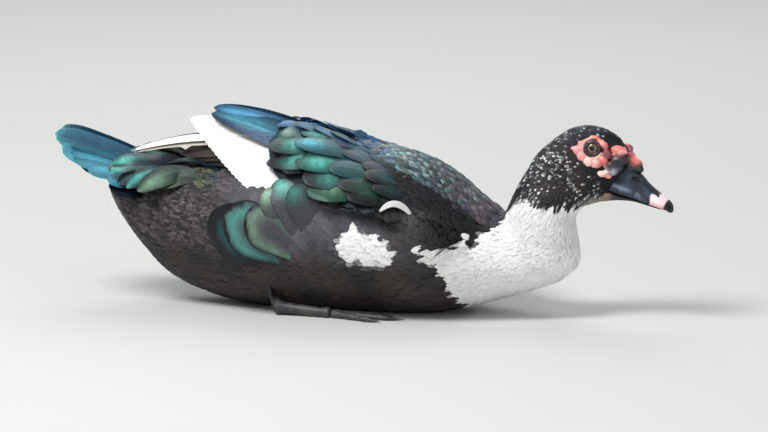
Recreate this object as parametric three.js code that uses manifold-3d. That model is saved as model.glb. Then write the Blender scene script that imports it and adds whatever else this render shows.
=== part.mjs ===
// A muscovy duck at life size, a still figure in the pose of a bird on the water,
// set down on its belly with its feet folded under it.
// Millimetres: +X runs forward to the bill, +Y to the bird's left, +Z up.
// The origin is the middle of the small flat under the belly, on which the bird rests.
import * as THREE from "three";
import { mergeVertices } from "three/addons/utils/BufferGeometryUtils.js";
import Module from "manifold-3d";

const wasm = await Module();
wasm.setup();

// Driving dimensions
const gap = 0.35; // clear space kept between pieces that touch
const bodyHalfWidth = 97; // of the trunk without its wings
const backHeight = 166; // top of the back over the floor
const bellySink = 3; // how far the belly's curve would reach below its flat
const eyeRadius = 7.6;
const vaneThickness = 1; // at a feather's root
const thinnest = 0.5; // at its tip
const sides = { right: -1, left: 1 };

// Colours, matched by eye
const colours = {
  plumage: "#1d2422",
  neck: "#ece9e4",
  head: "#26262a",
  wing: "#1c5f63",
  tail: "#2b7f9c",
  bill: "#2b3140",
  eye: "#7d5a2c",
  foot: "#3a3c40",
};

// Solids

function solidFrom(geometry) {
  const bare = new THREE.BufferGeometry();
  bare.setAttribute("position", geometry.getAttribute("position"));
  bare.setIndex(geometry.index);
  const merged = mergeVertices(bare, 1e-3);
  const corners = [];
  const index = merged.index.array;
  for (let i = 0; i < index.length; i += 3) {
    const [a, b, c] = [index[i], index[i + 1], index[i + 2]];
    if (a !== b && b !== c && c !== a) corners.push(a, b, c);
  }
  const position = merged.getAttribute("position");
  if (signedVolume(position, corners) < 0) corners.reverse();
  return new wasm.Manifold(
    new wasm.Mesh({
      numProp: 3,
      vertProperties: new Float32Array(position.array),
      triVerts: new Uint32Array(corners),
    }),
  );
}

function signedVolume(position, corners) {
  const point = (i) => new THREE.Vector3().fromBufferAttribute(position, i);
  let sum = 0;
  for (let i = 0; i < corners.length; i += 3) {
    sum += point(corners[i]).dot(point(corners[i + 1]).cross(point(corners[i + 2])));
  }
  return sum / 6;
}

function geometryFrom(solid) {
  const mesh = solid.getMesh();
  const geometry = new THREE.BufferGeometry();
  geometry.setAttribute("position", new THREE.BufferAttribute(mesh.vertProperties, mesh.numProp));
  geometry.setIndex(new THREE.BufferAttribute(mesh.triVerts, 1));
  return geometry;
}

const join = (solids) => solids.reduce((whole, next) => whole.add(next));

// The largest closed surface of a solid, which drops loose scraps.
function largest(solid) {
  return solid.decompose().sort((a, b) => b.volume() - a.volume())[0];
}

// A round form carried along a row of stations. A station is a section: its middle, the
// vector to its side, and the vectors up and down from its middle.
// The first and last stations have no size, and close the form.
const catmullRom = (a, b, c, d, f) =>
  b + 0.5 * f * (c - a + f * (2 * a - 5 * b + 4 * c - d + f * (3 * (b - c) + d - a)));

function stationAt(stations, t) {
  const last = stations.length - 1;
  const place = Math.min(Math.max(t, 0), 1) * last;
  const i = Math.min(Math.floor(place), last - 1);
  const pick = (k) => stations[Math.min(Math.max(k, 0), last)];
  const near = [pick(i - 1), pick(i), pick(i + 1), pick(i + 2)];
  const blend = (key) =>
    new THREE.Vector3(
      ...[0, 1, 2].map((n) => catmullRom(...near.map((s) => s[key][n]), place - i)),
    );
  return { at: blend("at"), side: blend("side"), up: blend("up"), down: blend("down") };
}

// A point of the section at an angle; square is 2 for an ellipse and more for a boxier one.
function sectionPoint(station, angle, square) {
  const power = 2 / square;
  const across = Math.sign(Math.cos(angle)) * Math.abs(Math.cos(angle)) ** power;
  const rise = Math.abs(Math.sin(angle)) ** power;
  return station.at
    .clone()
    .addScaledVector(station.side, across)
    .addScaledVector(Math.sin(angle) >= 0 ? station.up : station.down, rise);
}

function form(stations, { around = 20, along = 14, square = 2, grow = 0 } = {}) {
  const geometry = new THREE.SphereGeometry(1, around, along);
  const uv = geometry.getAttribute("uv");
  const position = geometry.getAttribute("position");
  for (let i = 0; i < position.count; i += 1) {
    const point = sectionPoint(
      stationAt(stations, uv.getY(i)),
      2 * Math.PI * (uv.getX(i) % 1),
      square,
    );
    position.setXYZ(i, ...point);
  }
  if (!grow) return solidFrom(geometry);
  geometry.deleteAttribute("uv");
  geometry.deleteAttribute("normal");
  const merged = mergeVertices(geometry, 1e-3);
  merged.computeVertexNormals();
  const inward = signedVolume(merged.getAttribute("position"), merged.index.array) < 0 ? -1 : 1;
  const normal = merged.getAttribute("normal");
  const moved = merged.getAttribute("position");
  for (let i = 0; i < moved.count; i += 1) {
    const out = new THREE.Vector3().fromBufferAttribute(normal, i).multiplyScalar(inward * grow);
    moved.setXYZ(i, moved.getX(i) + out.x, moved.getY(i) + out.y, moved.getZ(i) + out.z);
  }
  return solidFrom(merged);
}

// A bulb: an ellipsoid with its own middle, radii and turn about Y.
function bulb([x, y, z], [rx, ry, rz], pitch = 0, { around = 8, along = 4, grow = 0 } = {}) {
  const geometry = new THREE.SphereGeometry(1, around, along)
    .scale(rx + grow, ry + grow, rz + grow)
    .rotateY(THREE.MathUtils.degToRad(-pitch))
    .translate(x, y, z);
  return solidFrom(geometry);
}

// A feather's vane: a thin curved leaf from its root to its tip, with both faces and the
// rim between them split into triangles alike. face is the way its outer side looks,
// rise lifts its middle along face, and cup bends its two edges back.
// An outline row is [place along the vane, width as a share of the widest].
const outlines = {
  short: [
    [0, 0.8],
    [0.66, 1],
    [1, 0.5],
  ],
  pointed: [
    [0, 0.6],
    [0.35, 0.95],
    [0.72, 0.74],
    [1, 0.1],
  ],
};
const tipDrop = 0.2; // how far the corners of a round tip fall back, as a share of its width

function vane({ root, tip, face, width, rise, cup, outline, grow }) {
  const rows = outlines[outline];
  const steps = rows.length - 1;
  const length = tip.clone().sub(root);
  const size = length.length() + grow;
  length.normalize();
  const out = face.clone().addScaledVector(length, -face.dot(length)).normalize();
  const across = length.clone().cross(out);
  const plane = new THREE.PlaneGeometry(2, 1, 2, steps);
  const uv = plane.getAttribute("uv");
  const points = [];
  for (const layer of [0.5, -0.5]) {
    for (let i = 0; i < uv.count; i += 1) {
      const row = Math.round((1 - uv.getY(i)) * steps);
      const s = 2 * uv.getX(i) - 1;
      const [along, share] = rows[row];
      const half = (width / 2) * share + grow;
      const drop = row === steps ? tipDrop * width * share * s * s : 0;
      const thickness = vaneThickness + (thinnest - vaneThickness) * along + 2 * grow;
      const lift = 4 * rise * along * (1 - along) - cup * share * s * s;
      const point = root
        .clone()
        .addScaledVector(length, along * size - drop)
        .addScaledVector(across, s * half)
        .addScaledVector(out, lift + layer * thickness);
      points.push(...point);
    }
  }
  const corners = [...plane.index.array];
  const back = corners.map((i) => i + uv.count);
  for (let i = 0; i < back.length; i += 3) [back[i], back[i + 1]] = [back[i + 1], back[i]];
  corners.push(...back);
  const rim = rimOf(steps);
  rim.forEach((a, k) => {
    const b = rim[(k + 1) % rim.length];
    corners.push(b, a, b + uv.count, a, a + uv.count, b + uv.count);
  });
  const geometry = new THREE.BufferGeometry();
  geometry.setAttribute("position", new THREE.BufferAttribute(new Float32Array(points), 3));
  geometry.setIndex(corners);
  return solidFrom(geometry);
}

// The corners of a vane's grid, three to a row, in order round its rim.
function rimOf(steps) {
  const rows = Array.from({ length: steps + 1 }, (_, row) => row);
  const left = rows.map((row) => 3 * row);
  const right = rows.map((row) => 3 * row + 2).reverse();
  return [...left, 3 * steps + 1, ...right, 1];
}

// A tier of vanes: its first and last vane are given, and those between are blended,
// with the middle of the tier pushed out by bow. Each has a root, a tip, a width, a rise
// and a cup. Their faces look out of the sheet that the tier's tips and roots span, tilted
// by lap so that each covers the edge of the next, like shingles (a lap below 0: of the one
// before). Places are on the bird's left, and side turns them to the right.
const outward = new THREE.Vector3(0, 0.7, 0.7);

function tier(side, row, grow = 0) {
  const { count, first, last, bow = [0, 0, 0], lap = 0.1, outline = "short" } = row;
  const blend = (key, f) => first[key] + (last[key] - first[key]) * f;
  const place = (key, f) =>
    new THREE.Vector3(
      ...bow.map((push, n) => first[key][n] + (last[key][n] - first[key][n]) * f + 4 * f * (1 - f) * push),
    );
  const vanes = Array.from({ length: count }, (_, k) => {
    const f = k / (count - 1);
    const step = 0.5 / (count - 1);
    const [root, tip] = [place("root", f), place("tip", f)];
    const spread = place("tip", Math.min(f + step, 1)).sub(place("tip", Math.max(f - step, 0)));
    const face = tip.clone().sub(root).cross(spread).normalize();
    if (face.dot(outward) < 0) face.negate();
    face.addScaledVector(spread.normalize(), -lap);
    for (const vector of [face, root, tip]) vector.y *= side;
    const [width, rise, cup] = ["width", "rise", "cup"].map((key) => blend(key, f));
    return vane({ root, tip, face, width, rise, cup, outline, grow });
  });
  return join(vanes);
}

// Stations for forms on the middle plane

// A row is [x, top, widest height, bottom, half width].
const upright = ([x, top, widest, bottom, half]) => ({
  at: [x, 0, widest],
  side: [0, half, 0],
  up: [0, 0, top - widest],
  down: [0, 0, bottom - widest],
});

// A row is [back x, back z, front x, front z, half width]: a section that leans with the neck.
const leaning = ([backX, backZ, frontX, frontZ, half]) => {
  const at = [(backX + frontX) / 2, 0, (backZ + frontZ) / 2];
  return {
    at,
    side: [0, half, 0],
    up: [backX - at[0], 0, backZ - at[2]],
    down: [frontX - at[0], 0, frontZ - at[2]],
  };
};

// Stations for limbs: a row is [x, y, z, radius, height as a share of the radius].
const limb = ([x, y, z, radius, share = 1]) => ({
  at: [x, y, z],
  side: [0, radius, 0],
  up: [0, 0, radius * share],
  down: [0, 0, -radius * share],
});

// Torso: breast, back, belly, rump and the feathers under the tail

const torsoRows = [
  [-262, 112, 112, 112, 0],
  [-257, 125, 114, 100, 22],
  [-243, 136, 106, 79, 38],
  [-222, 138, 98, 52, 50],
  [-190, 139, 90, 22, 58],
  [-140, 146, 84, 4, 72],
  [-80, 158, 80, -bellySink, 92],
  [-10, backHeight, 78, -bellySink, bodyHalfWidth],
  [50, 161, 74, -bellySink, 95],
  [88, 146, 69, 0, 88],
  [122, 120, 64, 7, 76],
  [156, 98, 60, 17, 60],
  [190, 86, 57, 28, 44],
  [214, 77, 57, 38, 26],
  [224, 57, 57, 57, 0],
];
const haunch = { at: [-70, 60, 90], radii: [62, 32, 44] };

function torsoForm(grow = 0) {
  const [x, y, z] = haunch.at;
  const haunches = Object.values(sides).map((side) =>
    bulb([x, side * y, z], haunch.radii, 0, { around: 16, along: 10, grow }),
  );
  return join([form(torsoRows.map(upright), { around: 26, along: 22, grow }), ...haunches]);
}

// Neck and head

const neckRows = [
  [190, 58, 190, 58, 0],
  [146, 82, 230, 54, 44],
  [153, 104, 226, 82, 41],
  [162, 124, 224, 99, 34],
  [172, 143, 231, 110, 29],
  [186, 160, 246, 119, 25],
  [200, 168, 250, 130, 21],
  [229, 153, 229, 153, 0],
];
const headRows = [
  [177, 143, 143, 143, 0],
  [180, 157, 143, 128, 12],
  [190, 169, 144, 116, 19.5],
  [204, 181, 147, 110, 24],
  [220, 191.5, 150, 110, 26],
  [238, 195.4, 152, 114, 25.6],
  [253, 193.2, 154, 119, 23],
  [264, 188.6, 156, 127, 19.5],
  [273, 182, 157, 137, 15],
  [280, 173, 157, 146, 10],
  [284, 159, 159, 159, 0],
];
const neckForm = (grow = 0) => form(neckRows.map(leaning), { around: 20, along: 10, grow });
const headForm = (grow = 0) => form(headRows.map(upright), { around: 20, along: 15, grow });

// Eye and lids
const eye = { at: [249.5, 16.4, 175.6], lidRadius: 7.4, lidTube: 1.5, lidOut: 4.2, turn: 14, tilt: 16 };

function eyeSolid(side, grow = 0) {
  return bulb([eye.at[0], side * eye.at[1], eye.at[2]], [eyeRadius, eyeRadius, eyeRadius], 0, {
    around: 12,
    along: 7,
    grow,
  });
}

function lids(side) {
  const ring = new THREE.TorusGeometry(eye.lidRadius, eye.lidTube, 5, 14)
    .rotateX(side * THREE.MathUtils.degToRad(-90 + eye.tilt))
    .rotateZ(side * THREE.MathUtils.degToRad(-eye.turn))
    .translate(eye.at[0] + 1, side * (eye.at[1] + eye.lidOut), eye.at[2] + 1);
  return solidFrom(ring);
}

// Caruncles: bare, warty bulbs round the eye and over the bill's base.
// A row is [x, y, z, length, depth out of the head, height, turn].
const caruncleRows = [
  [258.5, 17, 180.5, 8, 5, 6.5, -40],
  [249.5, 18, 186, 8, 4, 3.6, -12],
  [273, 12.5, 172.5, 9.8, 6.2, 5.4, -10],
  [274, 13, 162.5, 9, 6, 5.6, -10],
  [259, 18, 164.5, 6.5, 5.5, 7.5, 10],
  [246.5, 21, 159.5, 9.5, 5, 5.6, -8],
  [236.5, 21.5, 166.5, 6, 4.5, 7.2, 35],
  [230, 22, 173, 6.5, 3.6, 4.2, 15],
  [258.5, 15, 148.5, 6.2, 5, 4.4, 5],
  [267.5, 13.8, 151.5, 5.6, 5, 5, 0],
  [282, 5, 173, 3.6, 3.4, 3.8, 0],
];

function headSolid() {
  const bulbs = Object.values(sides).flatMap((side) => [
    lids(side),
    ...caruncleRows.map(([x, y, z, length, depth, height, turn]) =>
      bulb([x, side * y, z], [length, depth, height], turn),
    ),
  ]);
  const sockets = Object.values(sides).map((side) => eyeSolid(side, gap));
  return join([headForm(), ...bulbs]).subtract(join(sockets));
}

// Bill

const billRows = [
  [250, 146, 146, 146, 0],
  [254, 158, 137, 135.4, 9],
  [266, 160, 131.5, 129.9, 12.2],
  [280, 157, 127.5, 125.9, 12.4],
  [290, 150.5, 124.5, 122.9, 12],
  [298, 142, 122, 120.4, 12],
  [306, 134.4, 119.6, 118, 12.6],
  [313, 129, 117.6, 116, 13],
  [319, 124.8, 115.6, 114, 11.8],
  [324, 120, 113.8, 112.2, 7.6],
  [326.8, 115, 115, 115, 0],
];
const knob = { at: [288, 0, 157.5], radii: [8.4, 7.6, 9.2], turn: -35 };
const nail = { at: [321.5, 0, 115.6], radii: [6, 5, 5], turn: -50 };
const nostril = { at: [291, 7, 145.5], radii: [4.2, 3, 2.1], turn: -20 };

function upperBillForm(grow = 0) {
  return join([
    form(billRows.map(upright), { around: 14, along: 13, square: 2.1, grow }),
    bulb(knob.at, knob.radii, knob.turn, { around: 12, along: 7, grow }),
    bulb(nail.at, nail.radii, nail.turn, { grow }),
  ]);
}

function nostrils() {
  const [x, y, z] = nostril.at;
  return join(
    Object.values(sides).map((side) => bulb([x, side * y, z], nostril.radii, nostril.turn)),
  );
}

// The lower bill lies just below the upper bill's edge.
const lowerBillRows = [
  [238, 124, 124, 124, 0],
  [242, 130, 127, 118, 9],
  [256, 131, 129, 118.6, 11.6],
  [270, 127, 125, 119.6, 11.4],
  [286, 124, 122.5, 118.2, 11],
  [300, 120.6, 119, 115.6, 11.2],
  [311, 117, 116, 113.2, 10.6],
  [317, 115, 114.4, 112.4, 6.5],
  [319.5, 113.6, 113.6, 113.6, 0],
];
const lowerBillForm = () =>
  form(lowerBillRows.map(upright), { around: 12, along: 10, square: 2.4 });

// Wings

// The wing's mass runs from its ridge to its lower edge.
// A row is [x, ridge y, ridge z, lower y, lower z, bulge]; y is on the bird's left.
const wingRows = [
  [133, 70, 80, 70, 80, 0],
  [128, 64, 93, 78, 75, 3],
  [110, 58, 108, 90, 80, 5],
  [84, 47, 130, 97, 90, 8],
  [50, 30, 154, 100, 103, 9],
  [16, 16, 166, 99, 113, 9],
  [-24, 9, 178, 96, 120, 9],
  [-56, 8, 185, 84, 132, 8],
  [-76, 14, 184, 66, 148, 5],
  [-88, 38, 170, 38, 170, 0],
];
const wingInner = 0.45; // the inner face's bulge, as a share of the outer one's

function wingMass(side) {
  const stations = wingRows.map(([x, ridgeY, ridgeZ, lowerY, lowerZ, bulge]) => {
    const across = new THREE.Vector3(0, ridgeY - lowerY, ridgeZ - lowerZ);
    const outward = new THREE.Vector3(0, across.z, -across.y).normalize().multiplyScalar(bulge);
    const turned = (v, scale) => [v.x * scale, side * v.y * scale, v.z * scale];
    return {
      at: [x, (side * (ridgeY + lowerY)) / 2, (ridgeZ + lowerZ) / 2],
      side: turned(across, 0.5),
      up: turned(outward, 1),
      down: turned(outward, -wingInner),
    };
  });
  return form(stations, { around: 12, along: 12 });
}

// Wing feathers, from the longest to the shortest tier
const wingTiers = {
  whitePrimaries: {
    count: 2,
    outline: "pointed",
    first: { root: [-46, 38, 164], tip: [-234, 6, 150], width: 21, rise: 9, cup: 1.5 },
    last: { root: [-46, 42, 160], tip: [-228, 10, 148], width: 19, rise: 8, cup: 1.5 },
  },
  darkPrimaries: {
    count: 2,
    first: { root: [-44, 47, 157], tip: [-184, 14, 146], width: 20, rise: 4, cup: 1.5 },
    last: { root: [-42, 54, 151], tip: [-167, 21, 141], width: 20, rise: 4, cup: 1.5 },
  },
  secondaries: {
    count: 5,
    bow: [-6, 0, 0],
    first: { root: [-56, 32, 170], tip: [-178, 12, 182], width: 36, rise: 2, cup: 1.6 },
    last: { root: [-30, 84, 136], tip: [-86, 84, 116], width: 40, rise: 3, cup: 1.6 },
  },
  tertials: {
    count: 3,
    bow: [-22, -3, 2],
    first: { root: [-46, 18, 182], tip: [-148, 10, 194], width: 26, rise: 3, cup: 0.6 },
    last: { root: [-30, 56, 165], tip: [-112, 34, 174], width: 36, rise: 3, cup: 0.6 },
  },
  greaterCoverts: {
    count: 4,
    bow: [0, 5, 5],
    first: { root: [-24, 17, 173], tip: [-88, 15, 188], width: 28, rise: 2, cup: 0.8 },
    last: { root: [4, 84, 138], tip: [-69, 80, 148], width: 32, rise: 4, cup: 0.8 },
  },
  medianCoverts: {
    count: 4,
    bow: [-12, 6, 7],
    first: { root: [12, 20, 159], tip: [-34, 20, 178], width: 28, rise: 2, cup: 0.8 },
    last: { root: [36, 95, 110], tip: [-8, 102, 119], width: 30, rise: 4, cup: 0.8 },
  },
  lesserCoverts: {
    count: 3,
    bow: [-4, 5, 6],
    first: { root: [42, 32, 147], tip: [2, 32, 166], width: 32, rise: 2, cup: 0.8 },
    last: { root: [78, 92, 102], tip: [38, 102, 117], width: 32, rise: 4, cup: 0.8 },
  },
};

function wingSolid(side) {
  return join([wingMass(side), ...Object.values(wingTiers).map((row) => tier(side, row))]);
}

// Tail: a firm base set in the rump, a fan of long feathers and a tier over their roots
const tailBase = { at: [-222, 0, 130], radii: [34, 42, 9], turn: -12 };
const tailBaseForm = (grow = 0) =>
  bulb(tailBase.at, tailBase.radii, tailBase.turn, { around: 18, along: 8, grow });

const tailTiers = {
  fan: {
    count: 7,
    bow: [-20, 2, 2],
    first: { root: [-214, 4, 133], tip: [-321, 8, 166], width: 29, rise: 0, cup: 0.4 },
    last: { root: [-216, 26, 124], tip: [-254, 66, 131], width: 30, rise: 0, cup: 0.4 },
  },
  coverts: {
    count: 3,
    bow: [-4, 4, 3],
    first: { root: [-204, 8, 135], tip: [-256, 11, 148], width: 32, rise: 3, cup: 1 },
    last: { root: [-206, 28, 124], tip: [-246, 51, 127], width: 32, rise: 4, cup: 1 },
  },
};

function tailSolid() {
  const vanes = Object.values(sides).flatMap((side) =>
    Object.values(tailTiers).map((row) => tier(side, row)),
  );
  return join([tailBaseForm(), ...vanes]);
}

// Flank feathers: large rounded vanes that sweep back and up over the wing's lower edge
const flankTiers = {
  rear: {
    count: 4,
    lap: -0.1,
    bow: [-14, 2, 0],
    first: { root: [-76, 86, 56], tip: [-127, 84, 68], width: 40, rise: 4, cup: 1 },
    last: { root: [-56, 84, 92], tip: [-96, 85, 130], width: 40, rise: 4, cup: 1 },
  },
  raised: {
    count: 2,
    lap: -0.1,
    first: { root: [-40, 89, 92], tip: [-66, 96, 132], width: 38, rise: 4, cup: 1 },
    last: { root: [-14, 92, 92], tip: [-40, 101, 136], width: 38, rise: 4, cup: 1 },
  },
};
const flankVanes = (grow = 0) =>
  join(
    Object.values(sides).flatMap((side) =>
      Object.values(flankTiers).map((row) => tier(side, row, grow)),
    ),
  );

// Legs and feet, folded forward under the belly

const foot = {
  heel: [-66, 70, 14],
  toeBase: [-8, 73, 4.4],
  tips: { inner: [48, 57, 1.8], middle: [64, 74, 1.8], outer: [46, 92, 1.8] },
};
// A row is [share of the toe's length, radius]; the claw is the last of them.
const toeRows = [
  [0, 0],
  [0.03, 5],
  [0.3, 4],
  [0.6, 4],
  [0.84, 3.4],
  [0.9, 2],
  [1.1, 0],
];
const toeHeight = 0.8; // as a share of the radius
const web = { thickness: 1.8, reach: 0.88, dip: 0.66, inset: 0.05 };

function legForm(side) {
  const [heel, base] = [foot.heel, foot.toeBase];
  return form(
    [
      limb([heel[0] - 14, side * (heel[1] - 14), heel[2] + 28, 0]),
      limb([heel[0] - 12, side * (heel[1] - 12), heel[2] + 24, 9]),
      limb([heel[0] - 6, side * (heel[1] - 4), heel[2] + 8, 8.5]),
      limb([heel[0], side * heel[1], heel[2] - 5, 8]),
      limb([heel[0] + 16, side * (heel[1] + 1), heel[2] - 7, 5.6]),
      limb([base[0] - 12, side * base[1], base[2] + 0.5, 5.2]),
      limb([base[0] - 2, side * base[1], base[2], 6]),
      limb([base[0], side * base[1], base[2], 0]),
    ],
    { around: 8, along: 11 },
  );
}

function footForm(side) {
  const base = foot.toeBase;
  const toes = Object.values(foot.tips).map(([x, y, z]) => {
    const step = (f, radius) =>
      limb([
        base[0] + f * (x - base[0]),
        side * (base[1] + f * (y - base[1])),
        base[2] + f * (z - base[2]),
        radius,
        toeHeight,
      ]);
    return form(toeRows.map(([f, radius]) => step(f, radius)), { around: 6, along: 8 });
  });
  const { inner, middle, outer } = foot.tips;
  const to = ([x, y], f) => [base[0] + f * (x - base[0]), side * (base[1] + f * (y - base[1]))];
  const between = (a, b) => to([(a[0] + b[0]) / 2, (a[1] + b[1]) / 2], web.dip);
  const outline = new THREE.Shape();
  outline.moveTo(...to(inner, web.inset));
  outline.lineTo(...to(inner, web.reach));
  outline.quadraticCurveTo(...between(inner, middle), ...to(middle, web.reach));
  outline.quadraticCurveTo(...between(middle, outer), ...to(outer, web.reach));
  outline.lineTo(...to(outer, web.inset));
  const plate = { depth: web.thickness, bevelEnabled: false, curveSegments: 5 };
  return join([...toes, solidFrom(new THREE.ExtrudeGeometry(outline, plate))]);
}

// Assembly

const blockSize = 1000;
const block = (x, y, z) =>
  solidFrom(new THREE.BoxGeometry(blockSize, blockSize, blockSize).translate(x, y, z));
const belowFloor = block(0, 0, -blockSize / 2);
// All that lies past the middle plane, seen from one side.
const acrossMiddle = (side) => block(0, side * (gap / 2 - blockSize / 2), 0);

const group = new THREE.Group();
group.name = "muscovy_duck";

function addNode(name, solid, colour, roughness = 0.7) {
  const material = new THREE.MeshStandardMaterial({ color: colour, roughness, metalness: 0 });
  const mesh = new THREE.Mesh(geometryFrom(largest(solid)), material);
  mesh.name = name;
  group.add(mesh);
}

const torsoClear = torsoForm(gap);
const headClear = headForm(gap);
const flankClear = flankVanes(gap);

const torso = join([torsoForm(), flankVanes()]).subtract(tailBaseForm(gap)).subtract(belowFloor);
addNode("torso", torso, colours.plumage, 0.8);
addNode("neck", neckForm().subtract(torsoClear).subtract(headClear), colours.neck, 0.9);
addNode("head", headSolid(), colours.head, 0.7);
const upperBill = upperBillForm().subtract(nostrils()).subtract(headClear);
addNode("bill_upper", upperBill, colours.bill, 0.4);
const lowerBill = lowerBillForm()
  .subtract(upperBillForm(gap))
  .subtract(headClear)
  .subtract(neckForm(gap));
addNode("bill_lower", lowerBill, colours.bill, 0.4);
for (const [name, side] of Object.entries(sides)) {
  const wing = wingSolid(side)
    .subtract(torsoClear)
    .subtract(flankClear)
    .subtract(acrossMiddle(side));
  addNode(`eye_${name}`, eyeSolid(side), colours.eye, 0.1);
  addNode(`wing_${name}`, wing, colours.wing, 0.45);
  addNode(`leg_${name}`, legForm(side).subtract(torsoClear).subtract(belowFloor), colours.foot);
  addNode(`foot_${name}`, footForm(side).subtract(belowFloor), colours.foot);
}
const tail = tailSolid().subtract(torsoClear.subtract(tailBaseForm()));
addNode("tail", tail, colours.tail, 0.45);

export default group;
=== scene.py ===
# Muscovy duck: skin, coat, flight feathers, face, bill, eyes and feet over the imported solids.
# Tables and shapes are in millimetres in the frame's own axes, and setPoints turns them to metres.
import bpy
import numpy as np
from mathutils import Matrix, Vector
from mathutils.bvhtree import BVHTree
from mathutils.kdtree import KDTree


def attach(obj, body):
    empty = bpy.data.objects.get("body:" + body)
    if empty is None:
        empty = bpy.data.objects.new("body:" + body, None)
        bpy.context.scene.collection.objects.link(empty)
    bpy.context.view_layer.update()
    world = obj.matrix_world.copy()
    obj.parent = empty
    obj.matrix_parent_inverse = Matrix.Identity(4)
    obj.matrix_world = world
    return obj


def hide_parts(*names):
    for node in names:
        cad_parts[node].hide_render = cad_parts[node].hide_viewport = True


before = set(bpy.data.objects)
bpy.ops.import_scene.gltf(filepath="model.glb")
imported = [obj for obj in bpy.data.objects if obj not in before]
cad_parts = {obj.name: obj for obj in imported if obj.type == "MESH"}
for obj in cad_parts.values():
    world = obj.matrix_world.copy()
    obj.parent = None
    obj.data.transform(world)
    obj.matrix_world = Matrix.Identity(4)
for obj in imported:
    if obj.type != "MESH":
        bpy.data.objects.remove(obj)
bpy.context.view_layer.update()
scene = bpy.context.scene
sides = {"Right": -1, "Left": 1}
print("frame loaded")


def addObject(name, data):
    added = bpy.data.objects.new(name, data)
    scene.collection.objects.link(added)
    return added


# camera and lights

# angles in degrees, places and film in mm, the farthest in metres; span is the width seen at the aim
camera = {"turn": 17, "rise": 9, "aim": (25.1, 0, 93.2), "span": 770, "lens": 600, "film": 36,
          "farthest": 60, "frame": (768, 432)}
turn, rise = np.radians(camera["turn"]), np.radians(camera["rise"])
back = Vector((np.sin(turn) * np.cos(rise), -np.cos(turn) * np.cos(rise), np.sin(rise)))
rightward = Vector((np.cos(turn), np.sin(turn), 0))
upward = back.cross(rightward)
cameraData = bpy.data.cameras.new("camera")
cameraData.lens = camera["lens"]
cameraData.sensor_width = camera["film"]
cameraData.clip_end = camera["farthest"]
cameraObject = addObject("camera", cameraData)
stepBack = back * camera["span"] / 1000 * camera["lens"] / camera["film"]
cameraObject.location = Vector(camera["aim"]) / 1000 + stepBack
cameraObject.rotation_euler = back.to_track_quat("Z", "Y").to_euler()
scene.camera = cameraObject
scene.view_settings.view_transform = "Standard"

# place in metres, size, watts
lights = {
    "keyLight": ((-0.9, -1.5, 2.5), 1.2, 86),
    "fillLight": ((1.9, -1.8, 1.0), 2.0, 15),
    "rimLight": ((-0.6, 1.9, 1.9), 1.6, 26),
}
studio = {"litPoint": (0, 0, 0.09), "air": (0.86, 0.9, 0.95, 1), "strength": 0.5,
          "floor": (0.56, 0.56, 0.54, 1), "floorRoughness": 0.9, "floorHalf": 9000}
for name, (place, size, watts) in lights.items():
    lamp = bpy.data.lights.new(name, "AREA")
    lamp.size = size
    lamp.energy = watts
    lampObject = addObject(name, lamp)
    lampObject.location = place
    outward = Vector(place) - Vector(studio["litPoint"])
    lampObject.rotation_euler = outward.to_track_quat("Z", "Y").to_euler()
scene.world = bpy.data.worlds.new("studio")
scene.world.use_nodes = True
background = scene.world.node_tree.nodes["Background"].inputs
background["Color"].default_value = studio["air"]
background["Strength"].default_value = studio["strength"]

# helpers


def paint(text):
    # a display colour such as 1c5f63 as linear red, green and blue
    c = np.array([int(text[i:i + 2], 16) for i in (0, 2, 4)]) / 255
    return np.where(c <= 0.04045, c / 12.92, ((c + 0.055) / 1.055) ** 2.4)


def palette(names):
    # names each colour of a table
    return {name: paint(text) for name, text in names.items()}


def soft(x, low, high):
    # rises from 0 at low to 1 at high as 3tt - 2ttt
    t = np.clip((x - low) / (high - low), 0, 1)
    return t * t * (3 - 2 * t)


def hump(x, middle, width):
    # 1 at the middle, falling off as exp(-tt) with t in widths
    return np.exp(-((x - middle) / width) ** 2)


def mix(a, b, f):
    return a + (b - a) * f


def blend(a, b, share):
    # mixes rows of colours or vectors, with one share for each row
    return mix(a, b, share[:, None])


def unit(v):
    return v / np.maximum(np.linalg.norm(v, axis=-1, keepdims=True), 1e-9)


def columns(*parts):
    # columns side by side; a lone number fills its column
    return np.stack(np.broadcast_arrays(*parts), -1)


def ripple(points, size, seed=1):
    # smooth noise of about -1 to 1: the mean of seven sine waves in seeded directions
    draw = np.random.default_rng(seed)
    waves = unit(draw.normal(size=(7, 3))) * draw.uniform(0.6, 1.6, (7, 1)) * 6.283 / size
    return np.sin(points @ waves.T + draw.uniform(0, 6.283, 7)).sum(-1) / 3.2


def smoothRows(rows, count):
    # Catmull-Rom curve through the rows, read at even places
    rows = np.asarray(rows, float)
    t = np.linspace(0, len(rows) - 1, count)
    i = np.minimum(t.astype(int), len(rows) - 2)
    f = (t - i)[:, None]
    a, b, c, d = (rows[np.clip(i + k, 0, len(rows) - 1)] for k in (-1, 0, 1, 2))
    return b + 0.5 * f * (c - a + f * (2 * a - 5 * b + 4 * c - d + f * (3 * (b - c) + d - a)))


def roundForm(at, side, up, down, around=48, square=2.0):
    # rings at + side*cos^p + (up or down)*sin^p with p = 2/square; the end stations are the poles
    angle = np.arange(around) / around * 2 * np.pi
    cosine, sine = np.cos(angle)[None, :, None], np.sin(angle)[None, :, None]
    p = 2 / square
    across = side[:, None] * (np.sign(cosine) * np.abs(cosine) ** p)
    lift = np.where(sine >= 0, up[:, None], down[:, None]) * np.abs(sine) ** p
    rings = (at[:, None] + across + lift)[1:-1]
    return np.vstack([at[:1], rings.reshape(-1, 3), at[-1:]]), tubeFaces(len(rings), around)


def gridFaces(g):
    # the quads of a grid of point numbers
    return columns(g[:-1, :-1], g[:-1, 1:], g[1:, 1:], g[1:, :-1]).reshape(-1, 4)


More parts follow.
